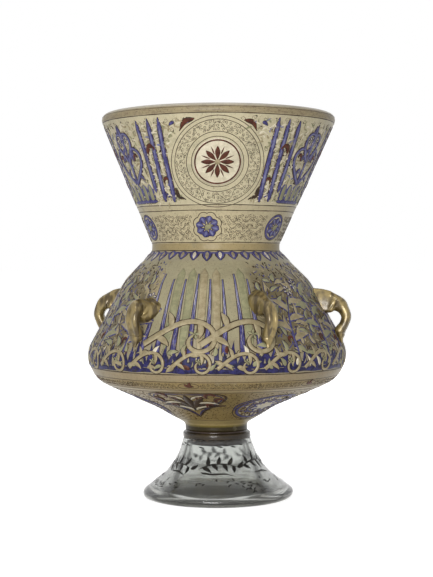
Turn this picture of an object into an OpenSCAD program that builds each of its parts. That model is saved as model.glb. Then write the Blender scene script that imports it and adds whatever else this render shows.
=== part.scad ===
// Hanging glass lamp: a blown vessel with a flared neck and a wide angular belly,
// a separately blown trumpet foot, six drawn-out suspension handles and a lift-out oil cup.
// Millimetres. +Z is up, and the origin is the centre of the foot's resting ring.

/* [Neck] */
// Overall height of the lamp, foot to lip
lamp_h = 350; // [330:1:420]
// Diameter of the flared neck at the lip, measured to its sharp corner
mouth_d = 219; // [190:0.2:270]
// Rounding of the lip's outer corner
lip_round = 5.6; // [3:0.5:6]
// Diameter of the opening inside the thickened lip
lip_bore_d = 198; // [170:0.5:204]
// Rounding of the lip's inner corner
lip_inner_round = 1.8; // [0.5:0.1:2]
// Diameter of the throat between neck and body
throat_d = 116.6; // [100:0.2:140]
// Height of the throat's lower corner
throat_low_z = 225.5; // [220:0.5:229]
// Height of the throat's upper corner
throat_high_z = 232; // [231:0.1:260]
// Rounding of the throat's corners
throat_round = 6; // [3:0.5:8]

/* [Body] */
// Thickness of the vessel's glass
wall = 3; // [2:0.1:4]
// Diameter of the shoulder where it turns towards the throat
knee_d = 168.6; // [155:0.2:180]
// Height of that turn
knee_z = 198.4; // [195:0.2:204]
// Rounding of that turn
knee_round = 40; // [10:1:50]
// Diameter of the belly, measured to its sharp corner
belly_d = 257.4; // [230:0.2:300]
// Height of the belly's corner
belly_z = 117; // [112:0.1:122]
// Rounding of the belly's corner
belly_round = 28; // [15:0.2:30]
// Diameter of the underside where it starts to draw in to the stem
hip_d = 114; // [100:0.5:130]
// Height of that change of slope
hip_z = 85.2; // [82:0.1:90]
// Rounding of that change of slope
hip_round = 60; // [20:1:80]
// Diameter of the stem below the body
stem_d = 56.8; // [48:0.2:62]
// Height of the corner between stem and underside
stem_z = 68.2; // [66:0.1:70]
// Rounding of that corner
stem_round = 5; // [2:0.5:6]
// Height of the vessel's lower face
vessel_low_z = 62; // [60:0.1:63]
// Height of the floor inside the vessel
floor_z = 70; // [69:0.1:74]

/* [Foot] */
// Thickness of the foot's glass
foot_wall = 3; // [2:0.1:4]
// Diameter of the foot's upper edge
foot_top_d = 61.4; // [58:0.2:70]
// Height of the foot's upper edge
foot_top_z = 54.5; // [50:0.5:55]
// Diameter of the foot at the turn of its flare
foot_turn_d = 80; // [72:0.5:90]
// Height of that turn
foot_turn_z = 28.2; // [24:0.2:32]
// Rounding of that turn
foot_turn_round = 55; // [20:1:60]
// Diameter of the foot's edge, measured to its sharp corner
foot_base_d = 156.2; // [140:0.2:200]
// Rounding of the foot's folded edge
foot_edge_round = 4.4; // [3:0.1:4.5]
// Diameter of the opening under the foot
foot_bore_d = 122.4; // [100:0.2:124]
// Depth of the plug of glass that reaches into the foot
plug_depth = 6; // [3:0.5:8]
// Gap left between pieces of glass that are fused together
fuse_gap = 0.1; // [0.05:0.01:0.2]
// Thickness of the ring of glass trailed round the joint
collar_t = 2.6; // [1.5:0.1:4]
// Height of that ring
collar_h = 6; // [4:0.2:7]

/* [Handles] */
// Angle of each handle from the front, towards the right; they were set on by eye
handle_turns = [22, 77, 138, 194, 250, 322]; // [0:1:359]
// Height on the shoulder of the middle of the eye
eye_z = 162; // [158:0.5:170]
// Radius of the eye that the chain's hook passes through
eye_r = 5.8; // [4:0.1:6.5]
// Least thickness of glass between the eye and the shoulder
eye_back = 1; // [0.8:0.1:3]
// Width of the round wall of the eye
eye_width = 7; // [5:0.5:9]
// Thickness of the bead of glass round the eye
eye_bead = 2.4; // [1:0.1:3]

/* [Oil cup] */
// Diameter of the oil cup at its base
cup_base_d = 40; // [30:1:46]
// Diameter of the oil cup at its rim
cup_rim_d = 68; // [50:1:90]
// Height of the oil cup
cup_h = 84; // [60:1:110]
// Thickness of the cup's glass
cup_wall = 2; // [1.5:0.1:3]
// Gap under the standing cup
cup_gap = 0.3; // [0.1:0.05:0.5]
// Radius of the wick
wick_r = 2.2; // [1:0.1:3]
// Gap round the wick in its tube
wick_gap = 0.1; // [0.05:0.01:0.3]
// Thickness of the wick holder's sheet metal
holder_t = 1.2; // [0.8:0.1:2]
// Width of the wick holder's strip
holder_w = 8; // [8:0.5:14]

/* [Hidden] */
$fn = 96;

// Largest turn of one straight piece of a rounded corner, in degrees
arc_step = 8;
// Sides and rings of a handle's trail of glass
trail_sides = 16;
trail_steps = 3;
// How square a handle's section is: 2 is an ellipse
trail_square = 2.4;

handle_glass = [0.60, 0.51, 0.32];
join_glass = [0.42, 0.37, 0.22];

// Directions and corners of a path on the plane of radius and height
function unit(v) = v / norm(v);
function left(v) = [-v[1], v[0]];
function flat(p) = [p[0], p[1]];
function turn_of(d, e) = atan2(d[0] * e[1] - d[1] * e[0], d * e);
function spin(v, a) = [v[0] * cos(a) - v[1] * sin(a), v[0] * sin(a) + v[1] * cos(a)];

// The arc that replaces one corner [x, y, rounding] between two neighbours
function corner_arc(before, here, after) =
    let (
        d = unit(flat(here) - flat(before)),
        e = unit(flat(after) - flat(here)),
        turn = turn_of(d, e),
        side = sign(turn),
        start = flat(here) - d * here[2] * tan(abs(turn) / 2),
        centre = start + left(d) * side * here[2],
        steps = max(2, ceil(abs(turn) / arc_step))
    )
    [for (k = [0:steps]) centre + spin(start - centre, turn * k / steps)];

// A path of straight lines with its corners rounded
function rounded(corners) =
    let (last = len(corners) - 1)
    [for (i = [0:last])
        each (i == 0 || i == last || corners[i][2] == 0)
            ? [flat(corners[i])]
            : corner_arc(corners[i - 1], corners[i], corners[i + 1])];

// The same path moved to its left by a distance, with concentric roundings
function inset(corners, distance) =
    let (last = len(corners) - 1)
    [for (i = [0:last])
        let (
            here = flat(corners[i]),
            d = i == 0 ? unit(flat(corners[1]) - here) : unit(here - flat(corners[i - 1])),
            e = i == last ? d : unit(flat(corners[i + 1]) - here),
            shift = (left(d) + left(e)) / (1 + left(d) * left(e)),
            rounding = corners[i][2] - sign(turn_of(d, e)) * distance
        )
        concat(here + shift * distance, [max(0, rounding)])];

function reversed(list) = [for (i = [len(list) - 1:-1:0]) list[i]];
function slice(list, first, last) = [for (i = [first:last]) list[i]];

// Where the line through two points reaches a height or a radius
function at_height(p, q, z) = [p[0] + (q[0] - p[0]) * (z - p[1]) / (q[1] - p[1]), z, 0];
function at_radius(p, q, r) = [r, p[1] + (q[1] - p[1]) * (r - p[0]) / (q[0] - p[0]), 0];

// Outside of the vessel from the stem to the lip, as corners of [radius, height, rounding]
vessel_line = [
    [stem_d / 2, stem_z, stem_round],
    [hip_d / 2, hip_z, hip_round],
    [belly_d / 2, belly_z, belly_round],
    [knee_d / 2, knee_z, knee_round],
    [throat_d / 2, throat_low_z, throat_round],
    [throat_d / 2, throat_high_z, throat_round],
    [mouth_d / 2, lamp_h, lip_round]
];
vessel_inside = inset(vessel_line, wall);
vessel_floor_edge = at_height(vessel_inside[0], vessel_inside[1], floor_z);
vessel_lip_foot = at_radius(vessel_inside[5], vessel_inside[6], lip_bore_d / 2);

// Outside of the foot, from its base to its upper edge
foot_line = [
    [foot_base_d / 2, 0, foot_edge_round],
    [foot_turn_d / 2, foot_turn_z, foot_turn_round],
    [foot_top_d / 2, foot_top_z, 0]
];
foot_inside = inset(foot_line, foot_wall);
foot_fold_top = at_radius(foot_inside[0], foot_inside[1], foot_bore_d / 2);
foot_inside_top = at_height(foot_inside[1], foot_inside[2], foot_top_z);
foot_fold_round = 2;

// The straight shoulder that carries the handles
belly_corner = flat(vessel_line[2]);
knee_corner = flat(vessel_line[3]);
shoulder_up = unit(knee_corner - belly_corner);
shoulder_out = -left(shoulder_up);
eye_foot = flat(at_height(belly_corner, knee_corner, eye_z));
eye_off = eye_r + eye_back;
eye_outer_r = eye_r + eye_bead;

// The trail of glass that makes a handle, from its root to its tail. Each station is
// [distance up the shoulder from the eye, distance off the shoulder, half thickness, half width].
trail = [
    [25.0, -5.5, 9.5, 12.5],
    [19.4, 1.6, 10.2, 11.0],
    [14.9, 8.3, 9.2, 9.0],
    [10.6, 13.8, 6.8, 7.6],
    [4.0, 16.6, 5.4, 6.8],
    [-3.4, 15.7, 4.7, 6.6],
    [-8.6, 10.6, 4.5, 6.6],
    [-12.3, 4.5, 5.2, 6.5],
    [-17.0, 2.6, 4.0, 5.8],
    [-22.5, 1.2, 2.2, 4.2]
];

// A smooth curve through stations: the cubic between b and c that leaves towards a and d
function smooth(a, b, c, d, t) =
    0.5 * (2 * b + (c - a) * t + (2 * a - 5 * b + 4 * c - d) * t * t + (3 * b - a - 3 * c + d) * t * t * t);

function smooth_through(list, steps) =
    let (last = len(list) - 1)
    concat(
        [for (i = [0:last - 1]) for (k = [0:steps - 1])
            smooth(list[max(0, i - 1)], list[i], list[i + 1], list[min(last, i + 2)], k / steps)],
        [list[last]]
    );

// One ring of a trail: a squared ellipse across its path, as points [along the rim, out, up]
function ring(station, heading) =
    let (
        middle = eye_foot + shoulder_up * station[0] + shoulder_out * station[1],
        direction = unit(shoulder_up * heading[0] + shoulder_out * heading[1]),
        across = left(direction)
    )
    [for (k = [0:trail_sides - 1])
        let (
            a = 360 * k / trail_sides,
            w = sign(cos(a)) * pow(abs(cos(a)), 2 / trail_square) * station[3],
            h = sign(sin(a)) * pow(abs(sin(a)), 2 / trail_square) * station[2],
            place = middle + across * h
        )
        [w, -place[0], place[1]]];

// A closed solid through rings of points, in triangles
module skin(rings) {
    sides = len(rings[0]);
    count = len(rings);
    points = [for (r = rings) each r];
    walls = [for (i = [0:count - 2]) for (k = [0:sides - 1])
        let (
            a = i * sides + k,
            b = i * sides + (k + 1) % sides,
            c = a + sides,
            d = b + sides
        )
        each [[a, d, b], [a, c, d]]];
    first_end = [for (k = [1:sides - 2]) [0, k, k + 1]];
    base = (count - 1) * sides;
    last_end = [for (k = [1:sides - 2]) [base, base + k + 1, base + k]];
    polyhedron(points = points, faces = concat(walls, first_end, last_end));
}

module revolved(corners) {
    rotate_extrude() polygon(rounded(corners));
}

// A short cylinder through the eye, across the handle
module across_eye(r, length) {
    centre = eye_foot + shoulder_out * eye_off;
    translate([0, -centre[0], centre[1]])
        rotate([0, 90, 0])
            cylinder(r = r, h = length, center = true);
}

// The shoulder's own cone, grown by the gap of a fused joint
module shoulder_cone() {
    low = flat(at_height(belly_corner, knee_corner, belly_z));
    high = flat(at_height(belly_corner, knee_corner, throat_high_z));
    grow = fuse_gap / shoulder_out[0];
    translate([0, 0, low[1]])
        cylinder(r1 = low[0] + grow, r2 = high[0] + grow, h = high[1] - low[1]);
}

module vessel() {
    color([0.68, 0.62, 0.46])
        revolved(concat(
            [[0, vessel_low_z, 0], [stem_d / 2, vessel_low_z, 0]],
            vessel_line,
            [[lip_bore_d / 2, lamp_h, lip_inner_round], vessel_lip_foot],
            reversed(slice(vessel_inside, 1, 5)),
            [vessel_floor_edge, [0, floor_z, 0]]
        ));
}

module join_wad() {
    top_z = vessel_low_z - fuse_gap;
    seat_z = foot_top_z + fuse_gap;
    plug_r = foot_inside_top[0] - fuse_gap;
    color(join_glass)
        revolved([
            [0, foot_top_z - plug_depth, 0],
            [plug_r, foot_top_z - plug_depth, plug_depth / 2],
            [plug_r, seat_z, 0],
            [stem_d / 2, seat_z, 0],
            [stem_d / 2, top_z, 0],
            [0, top_z, 0]
        ]);
}

module join_collar() {
    inner_r = stem_d / 2 + fuse_gap;
    low_z = foot_top_z + fuse_gap;
    color(join_glass)
        revolved([
            [inner_r, low_z, 0],
            [inner_r + collar_t, low_z, collar_t * 0.4],
            [inner_r + collar_t, low_z + collar_h, collar_t * 0.9],
            [inner_r, low_z + collar_h, 0],
            [inner_r, low_z, 0]
        ]);
}

module foot() {
    color([0.80, 0.82, 0.80], 0.5)
        revolved(concat(
            [[foot_inside_top[0], foot_top_z, 0]],
            reversed(foot_line),
            [[foot_bore_d / 2, 0, foot_fold_round], foot_fold_top, foot_inside[1], foot_inside_top]
        ));
}

// One handle: its drawn trail, the bead round its eye and the pad that welds it to the shoulder
module handle(number) {
    stations = smooth_through(trail, trail_steps);
    last = len(stations) - 1;
    rings = [for (i = [0:last])
        ring(stations[i], stations[min(last, i + 1)] - stations[max(0, i - 1)])];
    color(handle_glass)
        rotate([0, 0, handle_turns[number - 1]])
            difference() {
                union() {
                    skin(rings);
                    across_eye(eye_outer_r, eye_width);
                }
                across_eye(eye_r, 8 * eye_width);
                shoulder_cone();
            }
}

cup_z = floor_z + cup_gap;
cup_top_z = cup_z + cup_h;

module oil_cup() {
    floor_t = 2 * cup_wall;
    base_r = cup_base_d / 2;
    rim_r = cup_rim_d / 2;
    color([0.84, 0.86, 0.78], 0.6)
        revolved([
            [0, cup_z, 0],
            [base_r, cup_z, cup_wall],
            [rim_r, cup_top_z, cup_wall * 0.4],
            [rim_r - cup_wall, cup_top_z, cup_wall * 0.4],
            [base_r - cup_wall / 2, cup_z + floor_t, cup_wall],
            [0, cup_z + floor_t, 0]
        ]);
}

// A strip that bridges the cup's rim, with hooked ends and a tube for the wick
module wick_holder() {
    reach = cup_rim_d / 2 + cup_gap;
    hook_drop = 8;
    tube_r = wick_r + wick_gap + holder_t;
    tube_drop = cup_h / 2;
    tube_rise = 6;
    color([0.62, 0.48, 0.26])
        difference() {
            union() {
                translate([-reach - holder_t, -holder_w / 2, cup_top_z])
                    cube([2 * (reach + holder_t), holder_w, holder_t]);
                for (side = [-1, 1])
                    translate([side * (reach + holder_t / 2), 0, cup_top_z - hook_drop / 2 + holder_t / 2])
                        cube([holder_t, holder_w, hook_drop + holder_t], center = true);
                translate([0, 0, cup_top_z - tube_drop])
                    cylinder(r = tube_r, h = tube_drop + tube_rise);
            }
            translate([0, 0, cup_top_z - tube_drop - holder_t])
                cylinder(r = wick_r + wick_gap, h = tube_drop + tube_rise + 2 * holder_t);
        }
}

module wick() {
    low_z = cup_z + cup_h * 0.2;
    high_z = cup_top_z + 9;
    tip = 3;
    color([0.90, 0.87, 0.78])
        union() {
            translate([0, 0, low_z])
                cylinder(r = wick_r, h = high_z - low_z);
            translate([0, 0, high_z])
                cylinder(r1 = wick_r, r2 = wick_r / 2, h = tip);
        }
}

vessel();
join_wad();
join_collar();
foot();
handle(1);  // handle_1
handle(2);  // handle_2
handle(3);  // handle_3
handle(4);  // handle_4
handle(5);  // handle_5
handle(6);  // handle_6
oil_cup();
wick_holder();
wick();
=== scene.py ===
"""Looks of a hanging glass lamp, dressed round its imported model.

The vessel, its foot and joint, the handles, the oil cup and the wick are surfaces turned or
drawn out with numpy, in place of their plain solids. Enamel and gilding lie on the glass as
raised strokes. Lengths are in millimetres until a mesh is made, which is in metres. Colours are
screen colours of 0 to 255 until a shader takes them.
"""

from __future__ import annotations

import logging
import math
from dataclasses import dataclass, field
from enum import Enum
from functools import lru_cache
from typing import Sequence, Union

import bpy
import numpy as np
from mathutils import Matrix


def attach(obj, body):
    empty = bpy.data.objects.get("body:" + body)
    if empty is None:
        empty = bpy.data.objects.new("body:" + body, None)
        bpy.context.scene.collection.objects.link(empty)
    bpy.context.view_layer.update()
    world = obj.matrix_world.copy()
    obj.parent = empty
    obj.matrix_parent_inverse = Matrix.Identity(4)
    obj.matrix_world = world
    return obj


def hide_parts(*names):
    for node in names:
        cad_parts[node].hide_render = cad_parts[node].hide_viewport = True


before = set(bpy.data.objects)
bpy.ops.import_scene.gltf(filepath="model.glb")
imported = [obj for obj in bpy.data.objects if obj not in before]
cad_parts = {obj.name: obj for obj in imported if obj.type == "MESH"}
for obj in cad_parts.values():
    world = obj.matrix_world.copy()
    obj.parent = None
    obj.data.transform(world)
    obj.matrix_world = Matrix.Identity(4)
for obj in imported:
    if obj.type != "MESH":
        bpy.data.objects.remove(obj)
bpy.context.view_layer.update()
LOG = logging.getLogger("lamp")

Array = np.ndarray
Number = Union[float, Array]
Colour = tuple[float, float, float]
Corner = tuple[float, float, float]
Span = tuple[float, float]
Pairs = tuple[Span, ...]
Rows = tuple[tuple[float, ...], ...]
METRES = 0.001
FULL_TURN = 2 * math.pi
BAKE_MAP = "OFBake"
CAP_SPOT = 0.001
ARC_STEP = 4.0
MEASURE_STEP = 0.4
SPAN_STEPS = 12
HOOP_POINTS = 361
DISC_SIDES = 48


def paint(colour: Colour) -> tuple[float, ...]:
    """Turn a screen colour into the linear colour that a shader takes.

    Args:
        colour: red, green and blue, 0 to 255.

    Returns:
        Linear red, green and blue, 0 to 1, with full cover.
    """
    screen = np.array(colour) / 255.0
    linear = np.where(screen < 0.04045, screen / 12.92, ((screen + 0.055) / 1.055) ** 2.4)
    return (*linear.tolist(), 1.0)


class Socket:
    """One output of a shader tree. Arithmetic on it adds Math nodes."""

    def __init__(self, tree: ShaderTree, output: bpy.types.NodeSocket) -> None:
        """Keep the tree and the output."""
        self.tree = tree
        self.output = output

    def __add__(self, other: Value) -> Socket:
        """Add."""
        return self.tree.math("ADD", self, other)

    def __sub__(self, other: Value) -> Socket:
        """Subtract."""
        return self.tree.math("SUBTRACT", self, other)

    def __rsub__(self, other: Value) -> Socket:
        """Subtract from a number."""
        return self.tree.math("SUBTRACT", other, self)

    def __mul__(self, other: Value) -> Socket:
        """Multiply."""
        return self.tree.math("MULTIPLY", self, other)

    def __truediv__(self, other: Value) -> Socket:
        """Divide."""
        return self.tree.math("DIVIDE", self, other)

    def __rtruediv__(self, other: Value) -> Socket:
        """Divide a number."""
        return self.tree.math("DIVIDE", other, self)

    __radd__ = __add__
    __rmul__ = __mul__


Value = Union[float, Colour, Socket]


class ShaderTree:
    """The node tree of a material or a world."""

    def __init__(self, owner: Union[bpy.types.Material, bpy.types.World], shader: str) -> None:
        """Open the owner's tree and find the shader that ends it.

        Args:
            owner: the material or world.
            shader: name of its last shader node.
        """
        owner.use_nodes = True
        self.owner = owner
        self.nodes = owner.node_tree.nodes
        self.links = owner.node_tree.links
        self.shader = self.nodes[shader]

    def add(self, kind: str, settings: dict, inputs: dict, output: Union[int, str] = 0) -> Socket:
        """Add one node.

        Args:
            kind: Blender's name of the node type.
            settings: its properties, with a ramp's stops under "stops"; they are set first.
            inputs: value or link of each socket, by number or name.
            output: the output that is handed back.

        Returns:
            That output.
        """
        node = self.nodes.new(kind)
        for key, setting in settings.items():
            if key == "stops":
                self.set_stops(node.color_ramp, setting)
            else:
                setattr(node, key, setting)
        for key, value in inputs.items():
            self.feed(node.inputs[key], value)
        return Socket(self, node.outputs[output])

    def set_stops(self, ramp: bpy.types.ColorRamp, stops: Sequence[tuple[float, Colour]]) -> None:
        """Give a colour ramp its stops.

        Args:
            ramp: the ramp, as new.
            stops: place, 0 to 1, and colour of each stop.
        """
        while len(ramp.elements) < len(stops):
            ramp.elements.new(1.0)
        for element, (place, colour) in zip(ramp.elements, stops):
            element.position = place
            element.color = paint(colour)

    def feed(self, socket: bpy.types.NodeSocket, value: Value) -> None:
        """Link a socket, or set its number or colour.

        Args:
            socket: the input.
            value: what it takes.
        """
        if isinstance(value, Socket):
            self.links.new(value.output, socket)
        else:
            socket.default_value = paint(value) if socket.type == "RGBA" else value

    def set(self, **values: Value) -> None:
        """Set sockets of the last shader, named with _ for a blank."""
        for name, value in values.items():
            self.feed(self.shader.inputs[name.replace("_", " ")], value)

    def math(self, operation: str, first: Value, second: Value = 0.0) -> Socket:
        """Add one Math node."""
        return self.add("ShaderNodeMath", {"operation": operation}, {0: first, 1: second})

    def place(self) -> Socket:
        """Give the place on the object, in metres."""
        return self.add("ShaderNodeTexCoord", {}, {}, "Object")

    def along(self, axis: str) -> Socket:
        """Give one coordinate of the place, X, Y or Z."""
        return self.add("ShaderNodeSeparateXYZ", {}, {0: self.place()}, axis)

    def climb(self, start: float, end: float) -> Socket:
        """Go smoothly from 0 at one height on the object to 1 at another, in millimetres."""
        return self.step(self.along("Z"), start * METRES, end * METRES)

    def stretched(self, across: float, up: float) -> Socket:
        """Give the place with its sideways and upward scales changed."""
        scale = {"Vector": self.place(), "Scale": (across, across, up)}
        return self.add("ShaderNodeMapping", {}, scale)

    def noise(self, size: float, detail: float, rough: float, where: Union[Socket, None] = None) -> Socket:
        """Give smooth noise, about 0.5 in the middle.

        Args:
            size: size of its largest blots, in millimetres.
            detail: octaves of finer blots.
            rough: strength of the finer ones.
            where: coordinates, or None for the place on the object.

        Returns:
            The noise value.
        """
        inputs = {"Vector": where or self.place(), "Scale": 1.0 / (size * METRES)}
        inputs.update({"Detail": detail, "Roughness": rough})
        return self.add("ShaderNodeTexNoise", {}, inputs)

    def step(self, value: Value, start: float, end: float) -> Socket:
        """Go smoothly from 0 where the value is at the start to 1 where it is at the end."""
        inputs = {"Value": value, "From Min": start, "From Max": end}
        return self.add("ShaderNodeMapRange", {"interpolation_type": "SMOOTHSTEP"}, inputs)

    def layers(self, colour: Value, *layers: tuple[Value, Value]) -> Value:
        """Mix colours over a first one in turn.

        Args:
            colour: the lowest colour.
            layers: factor and colour of each layer.

        Returns:
            The mixed colour.
        """
        for factor, tone in layers:
            inputs = {0: factor, 6: colour, 7: tone}
            colour = self.add("ShaderNodeMix", {"data_type": "RGBA"}, inputs, 2)
        return colour

    def darken(self, colour: Value, by: Value) -> Socket:
        """Multiply a colour by a value.

        Args:
            colour: the colour.
            by: the value, 1 for no change.

        Returns:
            The darker colour.
        """
        grey = self.add("ShaderNodeCombineColor", {}, {0: by, 1: by, 2: by})
        settings = {"data_type": "RGBA", "blend_type": "MULTIPLY"}
        return self.add("ShaderNodeMix", settings, {0: 1.0, 6: colour, 7: grey}, 2)

    def bump(self, height: Socket, depth: float, strength: float) -> Socket:
        """Turn a height, 0 to 1, into a normal; depth is in millimetres."""
        inputs = {"Height": height, "Distance": depth * METRES, "Strength": strength}
        return self.add("ShaderNodeBump", {}, inputs)


@dataclass(frozen=True)
class Finish:
    """How one surface looks. Equal finishes share one material."""

    name: str

    @lru_cache(maxsize=None)
    def material(self) -> bpy.types.Material:
        """Make the material, which ends in a Principled shader.

        Returns:
            The material.
        """
        tree = ShaderTree(bpy.data.materials.new(self.name), "Principled BSDF")
        self.dress(tree)
        return tree.owner

    def dress(self, tree: ShaderTree) -> None:
        """Add the finish's nodes to its tree."""
        raise NotImplementedError


@dataclass(frozen=True)
class GildedGround(Finish):
    """Honey glass with worn gilding, in bands of height round the vessel; one band is lightened as painted
    light, and the lip's top carries a painted highlight.

    Each band is its lowest height, its highest height and its colour.
    """

    name: str = "gilded_ground"
    bands: tuple[tuple[float, float, Colour], ...] = (
        (60.0, 67.0, (42, 34, 8)),
        (67.0, 68.4, (106, 93, 42)),
        # From 68.4 to 74 the gold is lighter as painted light, offsetting the shade in the fillet under the
        # body.
        (68.4, 74.0, (166, 147, 100)),
        (74.0, 104.0, (148, 127, 80)),
        (104.0, 106.5, (168, 150, 112)),
        (106.5, 114.0, (141, 122, 80)),
        (114.0, 120.3, (152, 136, 106)),
        (120.3, 150.0, (150, 140, 114)),
        (150.0, 216.0, (158, 150, 121)),
        (216.0, 225.0, (156, 148, 124)),
        (225.0, 232.4, (154, 138, 100)),
        (232.4, 260.3, (184, 172, 140)),
        (260.3, 265.0, (180, 168, 138)),
        (265.0, 341.0, (192, 182, 152)),
        (341.0, 351.0, (152, 139, 108)),
    )
    top: float = 400.0
    edge: float = 0.15
    leafy_middle: float = 48.5
    leafy_shade: Colour = (100, 88, 61)
    worn_gold: Colour = (138, 134, 112)
    speck: Colour = (84, 64, 42)
    lip_stain: Colour = (112, 94, 80)
    painted_lip_highlight: Colour = (204, 199, 188)

    def leafy(self, tree: ShaderTree, ragged: Socket) -> Socket:
        """Give 1 in the three leafy sectors of the shoulder: a cosine of three times the angle.

        Args:
            tree: tree that it is added to.
            ragged: noise that makes the sectors' edges uneven.

        Returns:
            The mask.
        """
        angle = tree.math("ARCTAN2", tree.along("X"), 0.0 - tree.along("Y"))
        wave = tree.math("COSINE", 3.0 * angle - 3.0 * math.radians(self.leafy_middle))
        shoulder = tree.climb(134.0, 146.0) * tree.climb(220.0, 196.0)
        return shoulder * tree.step(wave + 0.8 * ragged - 0.4, -0.15, 0.25)

    def dress(self, tree: ShaderTree) -> None:
        """Colour by height, mottled, with specks of lost gold, fine streaks and a painted highlight along the
        lip's top.

        Args:
            tree: the material's tree.
        """
        stops = [((height + inwards * self.edge) / self.top, colour) for low, high, colour in self.bands
                 for height, inwards in ((low, 1), (high, -1))]
        height = tree.along("Z") / (self.top * METRES)
        blots = tree.noise(34.0, 4.0, 0.6)
        streaks = tree.noise(9.0, 3.0, 0.6, tree.stretched(1.0, 0.16))
        grit = tree.noise(2.4, 3.0, 0.65)
        specks = tree.step(tree.noise(1.3, 2.0, 0.6), 0.60, 0.70)
        worn = tree.step(tree.noise(13.0, 5.0, 0.68), 0.54, 0.70)
        lip = tree.climb(341.0, 342.5)
        stain = tree.step(tree.noise(7.0, 4.0, 0.7, tree.stretched(1.0, 4.0)), 0.46, 0.64)
        colour = tree.layers(
            tree.add("ShaderNodeValToRGB", {"stops": stops}, {0: height}),
            (self.leafy(tree, blots) * 0.85, self.leafy_shade),
            (worn * 0.35, self.worn_gold),
            (specks * (0.45 + 0.35 * lip), self.speck),
            (lip * stain * 0.55, self.lip_stain),
            # The pale top of the lip is a painted highlight.
            (tree.climb(346.5, 349.0) * 0.6, self.painted_lip_highlight))
        colour = tree.darken(colour, 0.52 + 0.34 * blots + 0.22 * streaks + 0.40 * grit)
        tree.set(Base_Color=colour, Roughness=0.36 + 0.2 * worn, IOR=1.5, Specular_IOR_Level=0.14)
        tree.set(Coat_Weight=0.08, Coat_Roughness=0.2)
        tree.set(Normal=tree.bump(0.5 * blots + 0.5 * streaks, 0.5, 0.5))


@dataclass(frozen=True)
class HoneyInside(Finish):
    """The bare inner face of the honey glass."""

    name: str = "honey_inside"
    clear: Colour = (176, 160, 118)
    cloudy: Colour = (140, 122, 82)

    def dress(self, tree: ShaderTree) -> None:
        """Cloudy amber with long streaks.

        Args:
            tree: the material's tree.
        """
        streaks = tree.noise(14.0, 4.0, 0.6, tree.stretched(1.0, 0.2))
        blots = tree.noise(40.0, 3.0, 0.5)
        clouds = tree.step(0.5 * streaks + 0.5 * blots, 0.38, 0.62)
        tree.set(Base_Color=tree.layers(self.clear, (clouds, self.cloudy)))
        tree.set(Roughness=0.22 + 0.2 * blots, IOR=1.5)
        tree.set(Transmission_Weight=0.15, Normal=tree.bump(streaks, 0.4, 0.4))


@dataclass(frozen=True)
class ClearGlass(Finish):
    """Blown clear glass: its edge's tint below a height, painted shade where it is seen at a slant,
    and a painted dark line where refraction would show one.
    """

    body: Colour
    edge: Colour
    painted_refraction_line: Colour
    edge_top: float
    rough: float = 0.12

    def dress(self, tree: ShaderTree) -> None:
        """Clear, tinted by height, with painted shade at its edges and a painted dark line, and faint cords
        in the glass.

        Args:
            tree: the material's tree.
        """
        cords = tree.noise(11.0, 3.0, 0.6, tree.stretched(1.0, 0.3))
        facing = tree.add("ShaderNodeLayerWeight", {}, {"Blend": 0.5}, "Facing")
        line = tree.step(facing, 0.37, 0.46) * tree.step(facing, 0.57, 0.48)
        # The slant tint is painted shade and the line is a painted dark refraction line; both follow the
        # angle of view.
        colour = tree.layers(
            self.body,
            (tree.climb(self.edge_top, 0.8 * self.edge_top) * 0.85, self.edge),
            (tree.step(facing, 0.54, 0.92) * 0.8, self.edge),
            (line * 0.95, self.painted_refraction_line))
        tree.set(Base_Color=tree.darken(colour, 0.82 + 0.36 * cords), Roughness=self.rough)
        tree.set(IOR=1.47, Specular_IOR_Level=0.1, Transmission_Weight=1.0)
        tree.set(Normal=tree.bump(cords, 0.5, 0.12))


@dataclass(frozen=True)
class JoinGlass(Finish):
    """Thick clouded glass of the joint between body and foot."""

    olive: Colour
    smoke: Colour

    def dress(self, tree: ShaderTree) -> None:
        """Olive glass clouded with smoke along rings.

        Args:
            tree: the material's tree.
        """
        rings = tree.noise(16.0, 4.0, 0.6, tree.stretched(0.5, 4.0))
        tree.set(Base_Color=tree.layers(self.olive, (tree.step(rings, 0.38, 0.62), self.smoke)))
        tree.set(Roughness=0.14 + 0.12 * rings, IOR=1.5, Specular_IOR_Level=0.22)
        tree.set(Transmission_Weight=0.2, Coat_Weight=0.05, Normal=tree.bump(rings, 0.6, 0.6))


@dataclass(frozen=True)
class HandleGilding(Finish):
    """Gold on drawn glass, worn in patches."""

    name: str = "handle_gilding"
    gold: Colour = (140, 122, 76)
    deep: Colour = (78, 64, 34)
    glass: Colour = (96, 83, 50)

    def dress(self, tree: ShaderTree) -> None:
        """Satin gold over olive glass, in soft streaks, worn in patches.

        Args:
            tree: the material's tree.
        """
        streaks = tree.noise(5.0, 3.0, 0.5, tree.stretched(1.0, 0.25))
        fine = tree.noise(1.8, 2.0, 0.5)
        worn = tree.step(tree.noise(11.0, 4.0, 0.6), 0.50, 0.66)
        gilding = (tree.step(streaks, 0.38, 0.58), self.gold)
        colour = tree.layers(self.deep, gilding, (worn * 0.5, self.glass))
        tree.set(Base_Color=tree.darken(colour, 0.86 + 0.28 * fine), Metallic=0.5 - 0.35 * worn)
        tree.set(Roughness=0.28 + 0.14 * streaks, Coat_Weight=0.4, Coat_Roughness=0.12)
        tree.set(Normal=tree.bump(0.7 * streaks + 0.3 * fine, 0.5, 0.5))


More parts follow.
